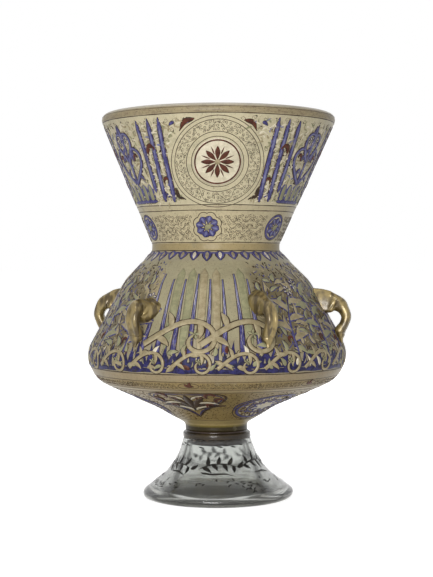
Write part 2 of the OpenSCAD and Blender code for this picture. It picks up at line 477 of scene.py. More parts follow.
@dataclass(frozen=True)
class Enamel(Finish):
    """Fired enamel or shell gold: two tones, and what shows where it has worn."""

    light: Colour
    dark: Colour
    worn: Colour
    wear: float
    rough: float = 0.42
    metal: float = 0.0

    def dress(self, tree: ShaderTree) -> None:
        """Tones clouded together, worn away in patches.

        Args:
            tree: the material's tree.
        """
        clouds = tree.noise(5.0, 3.0, 0.6)
        grain = tree.noise(0.8, 2.0, 0.6)
        patches = tree.noise(7.0, 5.0, 0.7)
        patches = tree.step(patches, 0.62 - 0.16 * self.wear, 0.74 - 0.12 * self.wear)
        colour = tree.layers(
            self.dark,
            (tree.step(0.7 * clouds + 0.3 * grain, 0.38, 0.62), self.light),
            (patches * min(1.0, 0.35 + self.wear), self.worn))
        tree.set(Base_Color=colour, Roughness=self.rough + 0.2 * patches, Metallic=self.metal)
        tree.set(Specular_IOR_Level=0.16, Normal=tree.bump(grain, 0.12, 0.6))


@dataclass(frozen=True)
class AgedBronze(Finish):
    """Sheet bronze with a brown and green skin."""

    name: str = "aged_bronze"
    bright: Colour = (168, 128, 74)
    brown: Colour = (92, 66, 38)
    green: Colour = (92, 112, 84)

    def dress(self, tree: ShaderTree) -> None:
        """Rubbed bronze with darker and greener patches.

        Args:
            tree: the material's tree.
        """
        blots = tree.noise(7.0, 4.0, 0.6)
        scratches = tree.noise(3.0, 3.0, 0.6, tree.stretched(0.15, 1.0))
        green = tree.step(tree.noise(5.0, 4.0, 0.7), 0.60, 0.72)
        skin = (tree.step(blots, 0.36, 0.62), self.brown)
        tree.set(Base_Color=tree.layers(self.bright, skin, (green * 0.7, self.green)))
        tree.set(Metallic=0.9 - 0.7 * green, Roughness=0.3 + 0.35 * blots)
        tree.set(Normal=tree.bump(0.5 * blots + 0.5 * scratches, 0.15, 0.6))


@dataclass(frozen=True)
class LampCotton(Finish):
    """Twisted cotton, scorched at its lit end."""

    name: str = "lamp_cotton"
    clean: Colour = (226, 216, 190)
    shade: Colour = (182, 168, 134)
    burnt: Colour = (40, 33, 27)
    burnt_from: float = 160.0
    burnt_to: float = 165.5

    def dress(self, tree: ShaderTree) -> None:
        """Pale fibres that darken to char near the top.

        Args:
            tree: the material's tree.
        """
        fibre = tree.noise(0.7, 3.0, 0.65, tree.stretched(1.0, 0.3))
        burnt = tree.along("Z") + 0.003 * fibre
        burnt = tree.step(burnt, self.burnt_from * METRES, self.burnt_to * METRES)
        pale = (tree.step(fibre, 0.35, 0.65), self.clean)
        tree.set(Base_Color=tree.layers(self.shade, pale, (burnt, self.burnt)), Roughness=0.92)
        tree.set(Normal=tree.bump(fibre, 0.25, 0.8))


class Pigment(Enum):
    """The gold and the enamels that the decoration is drawn in."""

    GOLD = Enamel("enamel_gold", (166, 154, 124), (144, 131, 100), (130, 119, 92), 0.4, 0.40, 0.1)
    LINE = Enamel("enamel_line", (66, 49, 34), (46, 35, 26), (112, 94, 64), 0.25)
    BLUE = Enamel("enamel_blue", (86, 84, 132), (54, 51, 96), (114, 109, 114), 0.45)
    DEEP = Enamel("enamel_deep", (52, 50, 100), (24, 22, 48), (56, 49, 48), 0.5)
    SKY = Enamel("enamel_sky", (124, 125, 158), (100, 100, 138), (142, 137, 134), 0.35)
    WHITE = Enamel("enamel_white", (220, 211, 188), (198, 188, 162), (168, 158, 132), 0.25)
    GREEN = Enamel("enamel_green", (152, 149, 116), (131, 129, 99), (152, 144, 115), 0.3)
    RED = Enamel("enamel_red", (94, 50, 36), (60, 34, 24), (106, 80, 56), 0.2)
    BLACK = Enamel("enamel_black", (44, 42, 38), (28, 27, 25), (92, 90, 82), 0.3)


GOLD, LINE, BLUE, DEEP, SKY, WHITE, GREEN, RED, BLACK = Pigment
Shares = tuple[tuple[Pigment, float], ...]


@dataclass
class MeshData:
    """Points in millimetres, and faces as arrays of point numbers with a map place per corner."""

    points: Array
    faces: list[Array]
    spots: list[Array]
    second: Union[Array, None] = None

    def turned_outwards(self) -> MeshData:
        """Flip every face if the shell's volume, summed over fans of its faces, is negative.

        Returns:
            The surface itself.
        """
        volume = 0.0
        for ring in self.faces:
            at = self.points[ring]
            for k in range(1, ring.shape[1] - 1):
                volume += float(np.einsum("ij,ij->", at[:, 0], np.cross(at[:, k], at[:, k + 1])))
        if volume < 0:
            self.faces = [ring[:, ::-1] for ring in self.faces]
            self.spots = [spot[:, ::-1] for spot in self.spots]
        return self


def joined(parts: Sequence[MeshData]) -> MeshData:
    """Put several surfaces into one, side by side.

    Args:
        parts: the surfaces.

    Returns:
        One surface with all their faces, in order.
    """
    starts = np.cumsum([0] + [len(p.points) for p in parts])
    faces = [ring + start for p, start in zip(parts, starts) for ring in p.faces]
    spots = [spot for p in parts for spot in p.spots]
    return MeshData(np.concatenate([p.points for p in parts]), faces, spots)


def add_piece(name: str, data: MeshData, finishes: Sequence[Finish], body: str,
              stands_for: Union[str, None] = None) -> None:
    """Put a surface into a mesh and hand it to its body.

    Args:
        name: name of the piece.
        data: its points and faces.
        finishes: its finishes; the second one is for the faces that data.second marks.
        body: body that it rides on.
        stands_for: plain solid that it replaces.
    """
    mesh = bpy.data.meshes.new(name)
    corners = np.concatenate([ring.ravel() for ring in data.faces])
    totals = np.concatenate([np.full(len(ring), ring.shape[1]) for ring in data.faces])
    starts = np.cumsum(totals) - totals
    mesh.vertices.add(len(data.points))
    mesh.vertices.foreach_set("co", (data.points * METRES).astype(np.float32).ravel())
    mesh.loops.add(len(corners))
    mesh.loops.foreach_set("vertex_index", corners.astype(np.int32))
    mesh.polygons.add(len(totals))
    mesh.polygons.foreach_set("loop_start", starts.astype(np.int32))
    mesh.polygons.foreach_set("use_smooth", np.ones(len(totals), bool))
    if data.second is not None:
        mesh.polygons.foreach_set("material_index", data.second.astype(np.int32))
    mesh.update(calc_edges=True)
    spots = np.concatenate([spot.reshape(-1, 2) for spot in data.spots])
    layer = mesh.uv_layers.new(name=BAKE_MAP)
    layer.uv.foreach_set("vector", np.clip(spots, 0.0, 1.0).astype(np.float32).ravel())
    for finish in finishes:
        mesh.materials.append(finish.material())
    piece = bpy.data.objects.new(name, mesh)
    bpy.context.scene.collection.objects.link(piece)
    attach(piece, body)
    if stands_for:
        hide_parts(stands_for)
    LOG.info("%s: %d points, %d faces", name, len(data.points), len(totals))


def ramp(count: int) -> Array:
    """Give numbers from 0 to 1."""
    return np.linspace(0.0, 1.0, count)


def around(count: int) -> Array:
    """Give the angles of places spaced evenly round a full turn."""
    return np.linspace(0.0, FULL_TURN, count, endpoint=False)


def alternate(count: int) -> Array:
    """Give 1 and -1 in turn."""
    return np.where(np.arange(count) % 2 == 0, 1.0, -1.0)


def hump(value: Array, middle: float, width: float) -> Array:
    """Give a bell curve that is 1 at its middle."""
    return np.exp(-(((value - middle) / width) ** 2))


def smooth_step(value: Array, start: float, end: float) -> Array:
    """Go smoothly from 0 where the value is at the start to 1 where it is at the end."""
    t = np.clip((value - start) / (end - start), 0.0, 1.0)
    return t * t * (3 - 2 * t)


def pair(x: Number, y: Number) -> Array:
    """Join x and y into points; one of them may be a single number."""
    return np.stack(np.broadcast_arrays(x, y), -1)


def polar(reach: Number, angle: Array) -> Array:
    """Give points at a reach from the middle, their angles clockwise from the top."""
    return pair(reach * np.sin(angle), reach * np.cos(angle))


def run_along(line: Array) -> Array:
    """Give each point's length along a line."""
    return np.append(0.0, np.cumsum(np.linalg.norm(np.diff(line, axis=0), axis=1)))


def grid_faces(rows: int, columns: int, ring: bool = False) -> tuple[Array, Array]:
    """Join a grid of points, numbered along its rows, into four-cornered faces.

    Args:
        rows, columns: size of the grid; its last column joins its first.
        ring: whether its last row joins its first too.

    Returns:
        The faces, and each corner's place on a map of the grid, 0 to 1.
    """
    high = rows - (not ring)
    i, j = (index.ravel() for index in np.indices((high, columns)))
    row = np.stack([i, i, i + 1, i + 1], 1)
    column = np.stack([j, j + 1, j + 1, j], 1)
    return (row % rows) * columns + column % columns, np.stack([column / columns, row / high], -1)


def capped(grid: Array, ends: Array) -> MeshData:
    """Close a grid whose columns go round: its first and last rows each run to a single point.

    Args:
        grid: rows and columns of points.
        ends: the point before the first row and the point after the last.

    Returns:
        The surface.
    """
    rows, sides = grid.shape[:2]
    faces, spots = grid_faces(rows, sides)
    here = np.arange(sides)
    after = (here + 1) % sides
    last, count = (rows - 1) * sides, rows * sides
    fans = np.concatenate([np.stack([here, np.full(sides, count), after], 1),
                           np.stack([last + after, np.full(sides, count + 1), last + here], 1)])
    points = np.vstack([grid.reshape(-1, 3), ends])
    return MeshData(points, [faces, fans], [spots, np.full((2 * sides, 3, 2), CAP_SPOT)])


def plugged(grid: Array) -> MeshData:
    """Close a grid whose columns go round with one flat face at each end.

    Args:
        grid: rows and columns of points.

    Returns:
        The surface.
    """
    rows, sides = grid.shape[:2]
    faces, spots = grid_faces(rows, sides)
    start = np.arange(sides)[None, :]
    caps = np.concatenate([start[:, ::-1], (rows - 1) * sides + start])
    data = MeshData(grid.reshape(-1, 3), [faces, caps], [spots, np.full((2, sides, 2), CAP_SPOT)])
    return data.turned_outwards()


def rounded(corners: Sequence[Corner]) -> Array:
    """Draw straight lines between corners and round each corner with an arc.

    Args:
        corners: radius, height and rounding of each corner.

    Returns:
        Points of radius and height, the arcs in steps of a few degrees.
    """
    line = [np.array(corners[0][:2])]
    for before, here, after in zip(corners, corners[1:], corners[2:]):
        a, b, c = (np.array(p[:2]) for p in (before, here, after))
        d = (b - a) / np.linalg.norm(b - a)
        e = (c - b) / np.linalg.norm(c - b)
        turn = math.atan2(d[0] * e[1] - d[1] * e[0], float(d @ e))
        if here[2] == 0 or turn == 0:
            line.append(b)
            continue
        start = b - d * here[2] * math.tan(abs(turn) / 2)
        middle = start + np.array([-d[1], d[0]]) * math.copysign(here[2], turn)
        angle = turn * ramp(max(3, math.ceil(abs(math.degrees(turn)) / ARC_STEP) + 1))
        x, y = start - middle
        c, s = np.cos(angle), np.sin(angle)
        line.extend(middle + pair(x * c - y * s, x * s + y * c))
    line.append(np.array(corners[-1][:2]))
    return np.array(line)


def inset(corners: Sequence[Corner], distance: float) -> list[Corner]:
    """Move a line of corners to its left, each corner along the bisector, roundings concentric.

    Args:
        corners: radius, height and rounding of each corner.
        distance: how far the line moves.

    Returns:
        The moved corners.
    """
    at = np.array(corners)
    ways = np.diff(at[:, :2], axis=0)
    ways = ways / np.linalg.norm(ways, axis=1)[:, None]
    d = np.vstack([ways[:1], ways])
    e = np.vstack([ways, ways[-1:]])
    left_d, left_e = (pair(-way[:, 1], way[:, 0]) for way in (d, e))
    shift = (left_d + left_e) / (1 + (left_d * left_e).sum(1))[:, None]
    turn = np.sign(d[:, 0] * e[:, 1] - d[:, 1] * e[:, 0])
    rounding = np.maximum(0.0, at[:, 2] - turn * distance)
    return [tuple(row) for row in np.column_stack([at[:, :2] + shift * distance, rounding]).tolist()]


def at_height(low: Corner, high: Corner, height: float) -> Corner:
    """Give the point of a straight line at a height."""
    share = (height - low[1]) / (high[1] - low[1])
    return (low[0] + (high[0] - low[0]) * share, height, 0.0)


def at_radius(low: Corner, high: Corner, radius: float) -> Corner:
    """Give the point of a straight line at a radius."""
    share = (radius - low[0]) / (high[0] - low[0])
    return (radius, low[1] + (high[1] - low[1]) * share, 0.0)


def evened(line: Array, step: float) -> Array:
    """Space points along a line at about a step, keeping its ends and its corners.

    Args:
        line: points in order.
        step: largest distance between points.

    Returns:
        The line with points added between its own.
    """
    gaps = np.linalg.norm(np.diff(line, axis=0), axis=1)
    counts = np.maximum(1, np.ceil(gaps / step)).astype(int)
    run = np.concatenate([np.arange(n) / n + k for k, n in enumerate(counts)] + [[len(counts)]])
    return np.stack([np.interp(run, np.arange(len(line)), column) for column in line.T], 1)


@dataclass(frozen=True)
class HandWork:
    """How far blowing by hand leaves a turned piece from true.

    The lean is a list of heights with how far the axis stands to the right there. The swell
    is how far the radius wanders as it goes round.
    """

    lean: Pairs
    swell: float

    def bend(self, turn: Array, radius: Array, height: Array) -> Array:
        """Turn (angle, radius, height) into points.

        The radius gets two slow waves round the axis that drift with the height, and the
        whole ring slides along X by the lean.

        Args:
            turn: angle from the front, towards the right.
            radius, height: place on the turned line.

        Returns:
            Points, one more dimension than the inputs.
        """
        wave = 0.6 * np.cos(2 * turn + 0.7 + height / 90) + 0.4 * np.cos(3 * turn + 2.1 - height / 60)
        out = radius + self.swell * wave * np.clip(radius / 30, 0.0, 1.0)
        side = np.interp(height, *np.array(self.lean).T)
        return np.stack([out * np.sin(turn) + side, -out * np.cos(turn), height + 0 * out], -1)


class TurnedSurface:
    """The outside of a blown piece, addressed by angle, length along its line, and lift off it."""

    def __init__(self, corners: Sequence[Corner], hand: HandWork) -> None:
        """Measure the line.

        Args:
            corners: radius, height and rounding of its corners, upwards.
            hand: how the blowing bends it.
        """
        line = evened(rounded(corners), MEASURE_STEP)
        self.hand = hand
        self.radius, self.height = line.T
        self.arc = run_along(line)
        self.across = np.gradient(self.radius, self.arc)
        self.rise = np.gradient(self.height, self.arc)

    def arc_at(self, height: Number) -> Number:
        """Give the length along the line at a height."""
        return np.interp(height, self.height, self.arc)

    def radius_at(self, arc: Number) -> Number:
        """Give the radius at a length along the line."""
        return np.interp(arc, self.arc, self.radius)

    def rise_at(self, arc: Number) -> Number:
        """Give how steeply the line climbs at a length along it."""
        return np.interp(arc, self.arc, self.rise)

    def place(self, turn: Array, arc: Array, lift: Array) -> Array:
        """Give points at an angle and a length along the line, moved off along the normal.

        Args:
            turn: angle from the front.
            arc: length along the line.
            lift: distance off the surface.

        Returns:
            Points, one more dimension than the inputs.
        """
        radius = self.radius_at(arc) + lift * self.rise_at(arc)
        height = np.interp(arc, self.arc, self.height) - lift * np.interp(arc, self.arc, self.across)
        return self.hand.bend(turn, radius, height)


def lathe(line: Array, sides: int, hand: HandWork) -> MeshData:
    """Turn a line of radius and height round the axis.

    A point is (radius sin a, -radius cos a, height) at the angle a. A line that starts off the
    axis ends where it starts, and makes a ring. One that starts on the axis ends there too, and
    its ends are single points.

    Args:
        line: points of radius and height.
        sides: number of columns.
        hand: how the blowing bends it.

    Returns:
        The surface.
    """
    ring = line[0, 0] > 0
    body = line[:-1] if ring else line[1:-1]
    grid = hand.bend(around(sides), body[:, :1], body[:, 1:])
    faces, spots = grid_faces(len(body), sides, ring)
    run = run_along(line if ring else body)
    index = np.rint(spots[..., 1] * (len(body) - (not ring))).astype(int)
    spots = pair(spots[..., 0], run[index] / run[-1])
    if ring:
        return MeshData(grid.reshape(-1, 3), [faces], [spots]).turned_outwards()
    data = capped(grid, hand.bend(np.zeros(2), *line[[0, -1]].T))
    data.spots[0] = spots
    return data.turned_outwards()


def smooth_curve(controls: Sequence[Sequence[float]], count: int) -> Array:
    """Draw a cubic through control points, each span leaving towards its neighbours, evenly spaced.

    Args:
        controls: points that the curve passes, with any number of values each.
        count: number of points returned.

    Returns:
        Points along the curve.
    """
    at = np.asarray(controls, float)
    last = len(at) - 1
    run = np.linspace(0.0, last, SPAN_STEPS * last + 1)
    k = np.minimum(run.astype(int), last - 1)
    t = (run - k)[:, None]
    a, b, c, d = (at[np.clip(k + o, 0, last)] for o in (-1, 0, 1, 2))
    curve = 0.5 * (2 * b + (c - a) * t + (2 * a - 5 * b + 4 * c - d) * t**2
                   + (3 * b - a - 3 * c + d) * t**3)
    length = run_along(curve[:, :2])
    want = np.linspace(0.0, length[-1], count)
    return np.stack([np.interp(want, length, column) for column in curve.T], 1)


def ring_path(radius: float, count: int = 97) -> Array:
    """Draw a circle that ends where it starts."""
    return polar(radius, FULL_TURN * ramp(count))


def spiral_path(radius: float, turns: float, count: int) -> Array:
    """Draw a spiral: the radius shrinks to a sixth while the angle makes its turns.

    Args:
        radius: its first radius.
        turns: number of turns.
        count: number of points.

    Returns:
        Points along it.
    """
    reach = radius * (1 - 0.84 * ramp(count))
    angle = FULL_TURN * turns * ramp(count)
    return pair(reach * np.cos(angle), reach * np.sin(angle))


def swirl_path(x: float, y: float, heading: float, length: float, bend: float, curl: float,
               count: int = 65, power: float = 3.0) -> Array:
    """Draw a tendril: its direction turns by the bend evenly, and by the curl with a power of the way.

    Args:
        x, y: its start.
        heading: first direction, in degrees from the right, anticlockwise.
        length: length along it.
        bend, curl: turns in radians, anticlockwise.
        count: number of points.
        power: power of the way that the curl follows.

    Returns:
        Points along it.
    """
    t = ramp(count)
    way = math.radians(heading) + bend * t + curl * t**power
    way = (way[1:] + way[:-1]) / 2
    steps = length / (count - 1) * pair(np.cos(way), np.sin(way))
    return np.array([x, y]) + np.vstack([np.zeros(2), np.cumsum(steps, axis=0)])


def leaf_width(half: float, count: int = 9, belly: float = 0.4) -> Array:
    """Give half widths that swell from a thin end to the belly and fall to a point.

    Args:
        half: greatest half width.
        count: number of points.
        belly: place of the belly, as a share of the length.

    Returns:
        Half widths.
    """
    t = ramp(count)
    rise = belly / (1 - belly)
    peak = belly**rise * (1 - belly)
    return half * np.maximum(t**rise * (1 - t) / peak, 0.08)


def thread_width(half: float, count: int) -> Array:
    """Give an even half width with short thin ends."""
    t = ramp(count)
    return half * np.clip(8 * np.minimum(t, 1 - t) + 0.3, 0.0, 1.0)


def spear_width(half: float, count: int, tip: float) -> Array:
    """Give a half width that is even up to a pointed tip."""
    t = ramp(count)
    return half * np.clip(np.minimum((1 - t) / tip, 4 * t + 0.35), 0.05, 1.0)


def lancet_width(half: float, count: int, taper: float) -> Array:
    """Give half widths of a lancet leaf: full soon after a round foot, drawn in past the taper.

    Args:
        half: greatest half width.
        count: number of points.
        taper: where it starts to be drawn in, as a share of the length.

    Returns:
        Half widths.
    """
    t = ramp(count)
    drawn_in = 1 - np.clip((t - taper) / (1 - taper), 0.0, 1.0) ** 1.8
    return half * np.maximum(np.sqrt(np.clip(t / 0.07, 0.03, 1.0)) * drawn_in, 0.05)


def spread(path: Array, x: Number, y: Number, angle: Number, size: Number) -> Array:
    """Copy a path to many places, each turned by its angle and scaled by its size.

    Args:
        path: points of the path.
        x, y: places.
        angle: turns in radians, anticlockwise.
        size: scales; a negative one is a scale with the path's x mirrored.

    Returns:
        One path for each place.
    """
    places = np.broadcast_arrays(*np.atleast_1d(x, y, angle, size))
    x, y, angle, size = (column[:, None] for column in places)
    across, up = path[:, 0] * size, path[:, 1] * np.abs(size)
    c, s = np.cos(angle), np.sin(angle)
    return pair(x + across * c - up * s, y + across * s + up * c)


@dataclass(frozen=True)
class Leaf:
    """A leaf's length and half width, its swing aside, its belly's place and its number of points."""

    length: float
    half: float
    bend: float = 0.0
    belly: float = 0.4
    count: int = 9

    def path(self) -> Array:
        """Draw its middle: upwards by its length, swinging aside with the square of the way."""
        t = ramp(self.count)
        return self.length * pair(self.bend * t**2, t - 0.25 * abs(self.bend) * t**2)

    def width(self) -> Array:
        """Give its half widths."""
        return leaf_width(self.half, self.count, self.belly)


SUNK = -0.35
BROAD_SECTION = np.array([[-1.0, -0.62, 0.0, 0.62, 1.0], [SUNK, 0.86, 1.0, 0.86, SUNK]])
FINE_SECTION = np.array([[-1.0, 0.0, 1.0], [SUNK, 1.0, SUNK]])
FINE_LIMIT = 0.45


@dataclass
class Decoration:
    """Strokes on one zone of a turned surface, kept by pigment until they become meshes.

    The zone's map runs once round it and from its low to its high height. Its hoops are fine
    lines right round it: the height and the half width of each.
    """

    surface: TurnedSurface
    zone: str = ""
    low: float = 0.0
    high: float = 0.0
    seed: int = 0
    hoops: Pairs = ()
    hoop_lift: float = 0.2
    slot: str = "honey_glass"
    strokes: dict[Pigment, dict[tuple[int, bool], list[tuple[Array, ...]]]] = field(default_factory=dict)
    discs: dict[Pigment, list[MeshData]] = field(default_factory=dict)

    def __post_init__(self) -> None:
        """Start the zone's own random draws."""
        self.rng = np.random.default_rng(self.seed)

    def decorate(self) -> None:
        """Draw what the zone has besides its hoops."""
        raise NotImplementedError

    def board(self, turn: float, middle: float, fan: float = 0.0) -> Board:
        """Lay a drawing board on the zone."""
        return Board(self, turn, middle, fan)

    def keep(self, pigment: Pigment, turn: Array, arc: Array, half: Array, lift: float) -> None:
        """Keep strokes with others of their colour, number of points and section.

        Args:
            pigment: colour.
            turn, arc: angle and length along the line of each point, a row for each stroke.
            half: half width at each point.
            lift: height of the strokes' middles off the surface.
        """
        kind = (turn.shape[1], float(np.max(half, initial=0.0)) < FINE_LIMIT)
        rows = self.strokes.setdefault(pigment, {}).setdefault(kind, [])
        rows.append((turn, arc, half, np.full(len(turn), lift)))

    def hoop(self, pigment: Pigment, height: float, half: float, lift: float) -> None:
        """Lay one line right round at a height, its width wavering.

        Args:
            pigment: colour.
            height: its height on the lamp.
            half: its half width.
            lift: height of its middle off the surface.
        """
        turn = FULL_TURN * ramp(HOOP_POINTS)[None, :]
        arc = self.surface.arc_at(height) + 0.18 * np.sin(5 * turn + height)
        waver = half * (0.8 + 0.2 * np.sin(23 * turn + height) * np.sin(7 * turn))
        self.keep(pigment, turn, arc, waver, lift)

    def spots(self, turn: Array, arc: Array, middle: Number) -> Array:
        """Give places on the zone's map: shares of the full turn and of the way up.

        Args:
            turn, arc: angle and length along the line of each point.
            middle: angle that lies in the turn that is counted from.

        Returns:
            One place for each point, in a row.
        """
        low, high = self.surface.arc_at(self.low), self.surface.arc_at(self.high)
        home = np.floor(middle / FULL_TURN)
        return pair(turn / FULL_TURN - home, (arc - low) / (high - low)).reshape(-1, 2)

    def tubes(self, section: Array, turn: Array, arc: Array, half: Array, lift: Array) -> MeshData:
        """Carry a section along each stroke and close its ends.

        At each point the section lies across the stroke: a share of the half width to either
        side along the surface, lifted most in the middle and sunk at both edges.

        Args:
            section: shares of the half width, and of the lift.
            turn, arc: angle and length along the line of each point, a row for each stroke.
            half: half width at each point.
            lift: lift of each stroke.

        Returns:
            The strokes' surface.
        """
        radius = self.surface.radius_at(arc)
        ahead, above = np.gradient(turn, axis=1) * radius, np.gradient(arc, axis=1)
        length = np.maximum(np.hypot(ahead, above), 1e-9)
        reach = half[..., None] * section[0]
        turns = turn[..., None] + reach * (-above / length / radius)[..., None]
        arcs = arc[..., None] + reach * (ahead / length)[..., None]
        count, stations, sides = turns.shape
        points = self.surface.place(turns, arcs, lift[:, None, None] * section[1]).reshape(-1, 3)
        start = np.arange(sides)[None, :]
        caps = np.concatenate([start, (stations - 1) * sides + start[:, ::-1]])
        first = (np.arange(count) * stations * sides)[:, None, None]
        faces = (first + grid_faces(stations, sides)[0][:, ::-1]).reshape(-1, 4)
        caps = (first + caps).reshape(-1, sides)
        spots = self.spots(turns, arcs, turn.mean(1)[:, None, None])
        return MeshData(points, [faces, caps], [spots[faces], spots[caps]])

    def build(self) -> None:
        """Draw the zone and make one piece of each pigment."""
        for height, half in self.hoops:
            self.hoop(LINE, height, half, self.hoop_lift)
        self.decorate()
        for pigment in (p for p in Pigment if p in self.strokes):
            parts = []
            for (_, fine), rows in self.strokes[pigment].items():
                section = FINE_SECTION if fine else BROAD_SECTION
                parts.append(self.tubes(section, *map(np.concatenate, zip(*rows))))
            data = joined(parts + self.discs.get(pigment, []))
            name = f"{self.zone}_{pigment.name.lower()}"
            add_piece(name, data, [pigment.value], "lamp")


COMMA = ((0.0, -5.0), (0.4, -1.5), (2.4, 1.6), (5.4, 1.8), (7.0, -0.8), (5.6, -2.6))


@dataclass
class Board:
    """A flat drawing board laid on a zone, and the plants that are drawn on it.

    Its x goes round and its y up, from its middle. With a fan of 1 upright lines follow the
    surface's own straight lines, and with 0 sizes across stay true at every height.
    """

    zone: Decoration
    turn: float
    middle: float
    fan: float

    def __post_init__(self) -> None:
        """Find the middle on the surface's line."""
        self.surface, self.rng = self.zone.surface, self.zone.rng
        self.start = self.surface.arc_at(self.middle)
        self.radius = self.surface.radius_at(self.start)

    def lay(self, path: Array) -> tuple[Array, Array]:
        """Give the angle and the length along the line of drawn points.

        Args:
            path: points on the board.

        Returns:
            The angles and the lengths.
        """
        arc = self.start + path[..., 1]
        share = self.fan / self.radius + (1 - self.fan) / self.surface.radius_at(arc)
        return self.turn + path[..., 0] * share, arc

    def up(self, height: Number) -> Number:
        """Give a height of the lamp as a distance up the board."""
        return self.surface.arc_at(height) - self.start

    def draw(self, pigment: Pigment, paths: Array, half: Number, lift: float, line: float = 0.0,
             edge: Pigment = LINE) -> None:
        """Lay one or more strokes, on wider ones of another colour if they have an outline.

        Args:
            pigment: colour.
            paths: points of a path, or of several paths.
            half: half width, alike for all, per point, or per path and point.
            lift: height of the strokes' middles off the surface.
            line, edge: width and colour of the outline.
        """
        if line:
            self.draw(edge, paths, half + line, 0.6 * lift)
        turn, arc = self.lay(paths.reshape(-1, *paths.shape[-2:]))
        self.zone.keep(pigment, turn, arc, np.broadcast_to(half, turn.shape), lift)

    def disc(self, pigment: Pigment, radius: float, lift: float) -> None:
        """Lay a round patch: rings of points, lifted inside and sunk at the edge, closed below.

        Args:
            pigment: colour.
            radius: radius of the patch.
            lift: height of its middle off the surface.
        """
        share = np.array([0.25, 0.5, 0.75, 0.93, 1.0])[:, None]
        rise = np.array([1.0, 1.0, 0.98, 0.9, SUNK])[:, None]
        turn, arc = self.lay(radius * polar(share, around(DISC_SIDES)))
        ends = self.surface.place(*self.lay(np.zeros((2, 2))), lift * np.array([1.0, SUNK]))
        data = capped(self.surface.place(turn, arc, lift * rise), ends)
        spots = self.zone.spots(turn, arc, self.turn)
        data.spots = [spots[data.faces[0]], np.broadcast_to(spots[0], data.spots[1].shape)]
        self.zone.discs.setdefault(pigment, []).append(data.turned_outwards())

    def leaves(self, pigment: Pigment, leaf: Leaf, x: Number, y: Number, angle: Number, lift: float,
               size: Number = 1.0, line: float = 0.0, edge: Pigment = LINE) -> None:
        """Draw a leaf at each place.

        Args:
            pigment: colour.
            leaf: its shape.
            x, y, angle, size: places, turns and scales, as spread takes them.
            lift: height off the surface.
            line, edge: width and colour of the outline.
        """
        self.draw(pigment, spread(leaf.path(), x, y, angle, size), leaf.width(), lift, line, edge)

    def leaves_along(self, pigment: Pigment, path: Array, shares: Sequence[float], length: float,
                     half: float, lift: float, line: float = 0.6, edge: Pigment = LINE) -> None:
        """Grow leaves from a path to its right and left in turn, leaning forwards and curled back.

        Args:
            pigment: colour.
            path: points of the path.
            shares: where they grow, as shares of the path's length.
            length, half: length and half width of a leaf.
            lift: height off the surface.
            line, edge: width and colour of their outline.
        """
        index = (np.array(shares) * (len(path) - 1)).astype(int)
        way = np.gradient(path, axis=0)[index]
        side = alternate(len(index))
        angle = np.arctan2(-way[:, 0], way[:, 1]) - 0.62 * side
        leaf = Leaf(length, half, 0.6, 0.5, 13)
        self.leaves(pigment, leaf, *path[index].T, angle, lift, side, line, edge)

    def lancet(self, x: float, low: float, high: float, half: float) -> None:
        """Draw an upright blue lancet leaf, paler along its middle.

        Args:
            x: its place across the board.
            low, high: its ends on the board.
            half: its half width.
        """
        t = ramp(33)
        path = pair(x + 0.5 * np.sin(4 * t + x), low + (high - low) * t)
        self.draw(BLUE, path, lancet_width(half, 33, 0.86), 0.42, 0.5)
        for part in (slice(3, 16), slice(17, 30)):
            self.draw(SKY, path[part], leaf_width(0.55 * half, 13, 0.5), 0.52)

    def tendril(self, path: Array, half: float) -> None:
        """Draw a broad blue tendril that thins and then swells to a bud, with a leaf to either side.

        Args:
            path: points of its middle.
            half: its half width at its start.
        """
        t = ramp(len(path))
        self.leaves_along(BLUE, path, (0.16, 0.72), 8.0, 1.92, 0.46)
        wide = half * (1 - 0.4 * t + 0.75 * hump(t, 0.96, 0.05))
        self.draw(BLUE, path, wide * np.clip(20 * (1 - t) + 0.1, 0.0, 1.0), 0.52, 0.65)
        self.draw(SKY, path[2:-6], 0.4 * wide[2:-6], 0.62)

    def flower(self, x: float, y: float, radius: float, petals: int, pale: Pigment = WHITE) -> None:
        """Draw a round flower: blue lobes, pale petals on them, and a green heart.

        Args:
            x, y: its middle.
            radius: its radius.
            petals: number of its petals.
            pale: colour of the petals.
        """
        angle = around(petals) + 0.2
        lobe = Leaf(0.8 * radius, 0.36 * radius, 0.1, 0.66, 11)
        lobes = spread(lobe.path(), *(polar(0.2 * radius, angle) + [x, y]).T, -angle, 1.0)
        self.draw(BLUE, lobes, lobe.width(), 0.34, 0.35)
        self.draw(pale, lobes[:, 2:10], leaf_width(0.15 * radius, 8, 0.6), 0.48)
        heart = Leaf(0.62 * radius, 0.24 * radius, 0.3)
        for down, lean in ((-0.35, 0.3), (-0.2, -0.5)):
            self.leaves(GREEN, heart, x, y + down * radius, lean, 0.55, line=0.25)

    def comma(self, x: float, y: float, angle: float, size: float) -> None:
        """Draw a dark red leaf that curls like a comma; x, y, angle and size are as spread takes them."""
        path = spread(smooth_curve(COMMA, 21), x, y, angle, size)
        self.draw(RED, path, leaf_width(2.2 * abs(size), 21, 0.5), 0.75, 0.4)

    def toss(self, count: int) -> Array:
        """Give -1 or 1 by lot."""
        return np.where(self.rng.uniform(size=count) < 0.5, -1.0, 1.0)

    def curls(self, x: Array, y: Array, size: float, half: float = 0.22) -> None:
        """Draw a fine curl at each place, turned at random, with a leaflet beside it.

        Args:
            x, y: places.
            size: radius of a curl.
            half: half width of its line.
        """
        turn = self.rng.uniform(-3.1, 3.1, len(x))
        way = self.toss(len(x))
        self.draw(LINE, spread(spiral_path(size, 1.15, 13), x, y, turn, way), thread_width(half, 13), 0.15)
        beside = 0.9 * size * np.array([np.cos(turn), np.sin(turn)])
        leaflet = Leaf(0.9 * size, 0.22 * size, 0.5, count=5)
        self.leaves(LINE, leaflet, *(beside + [x, y]), turn, 0.16, way)

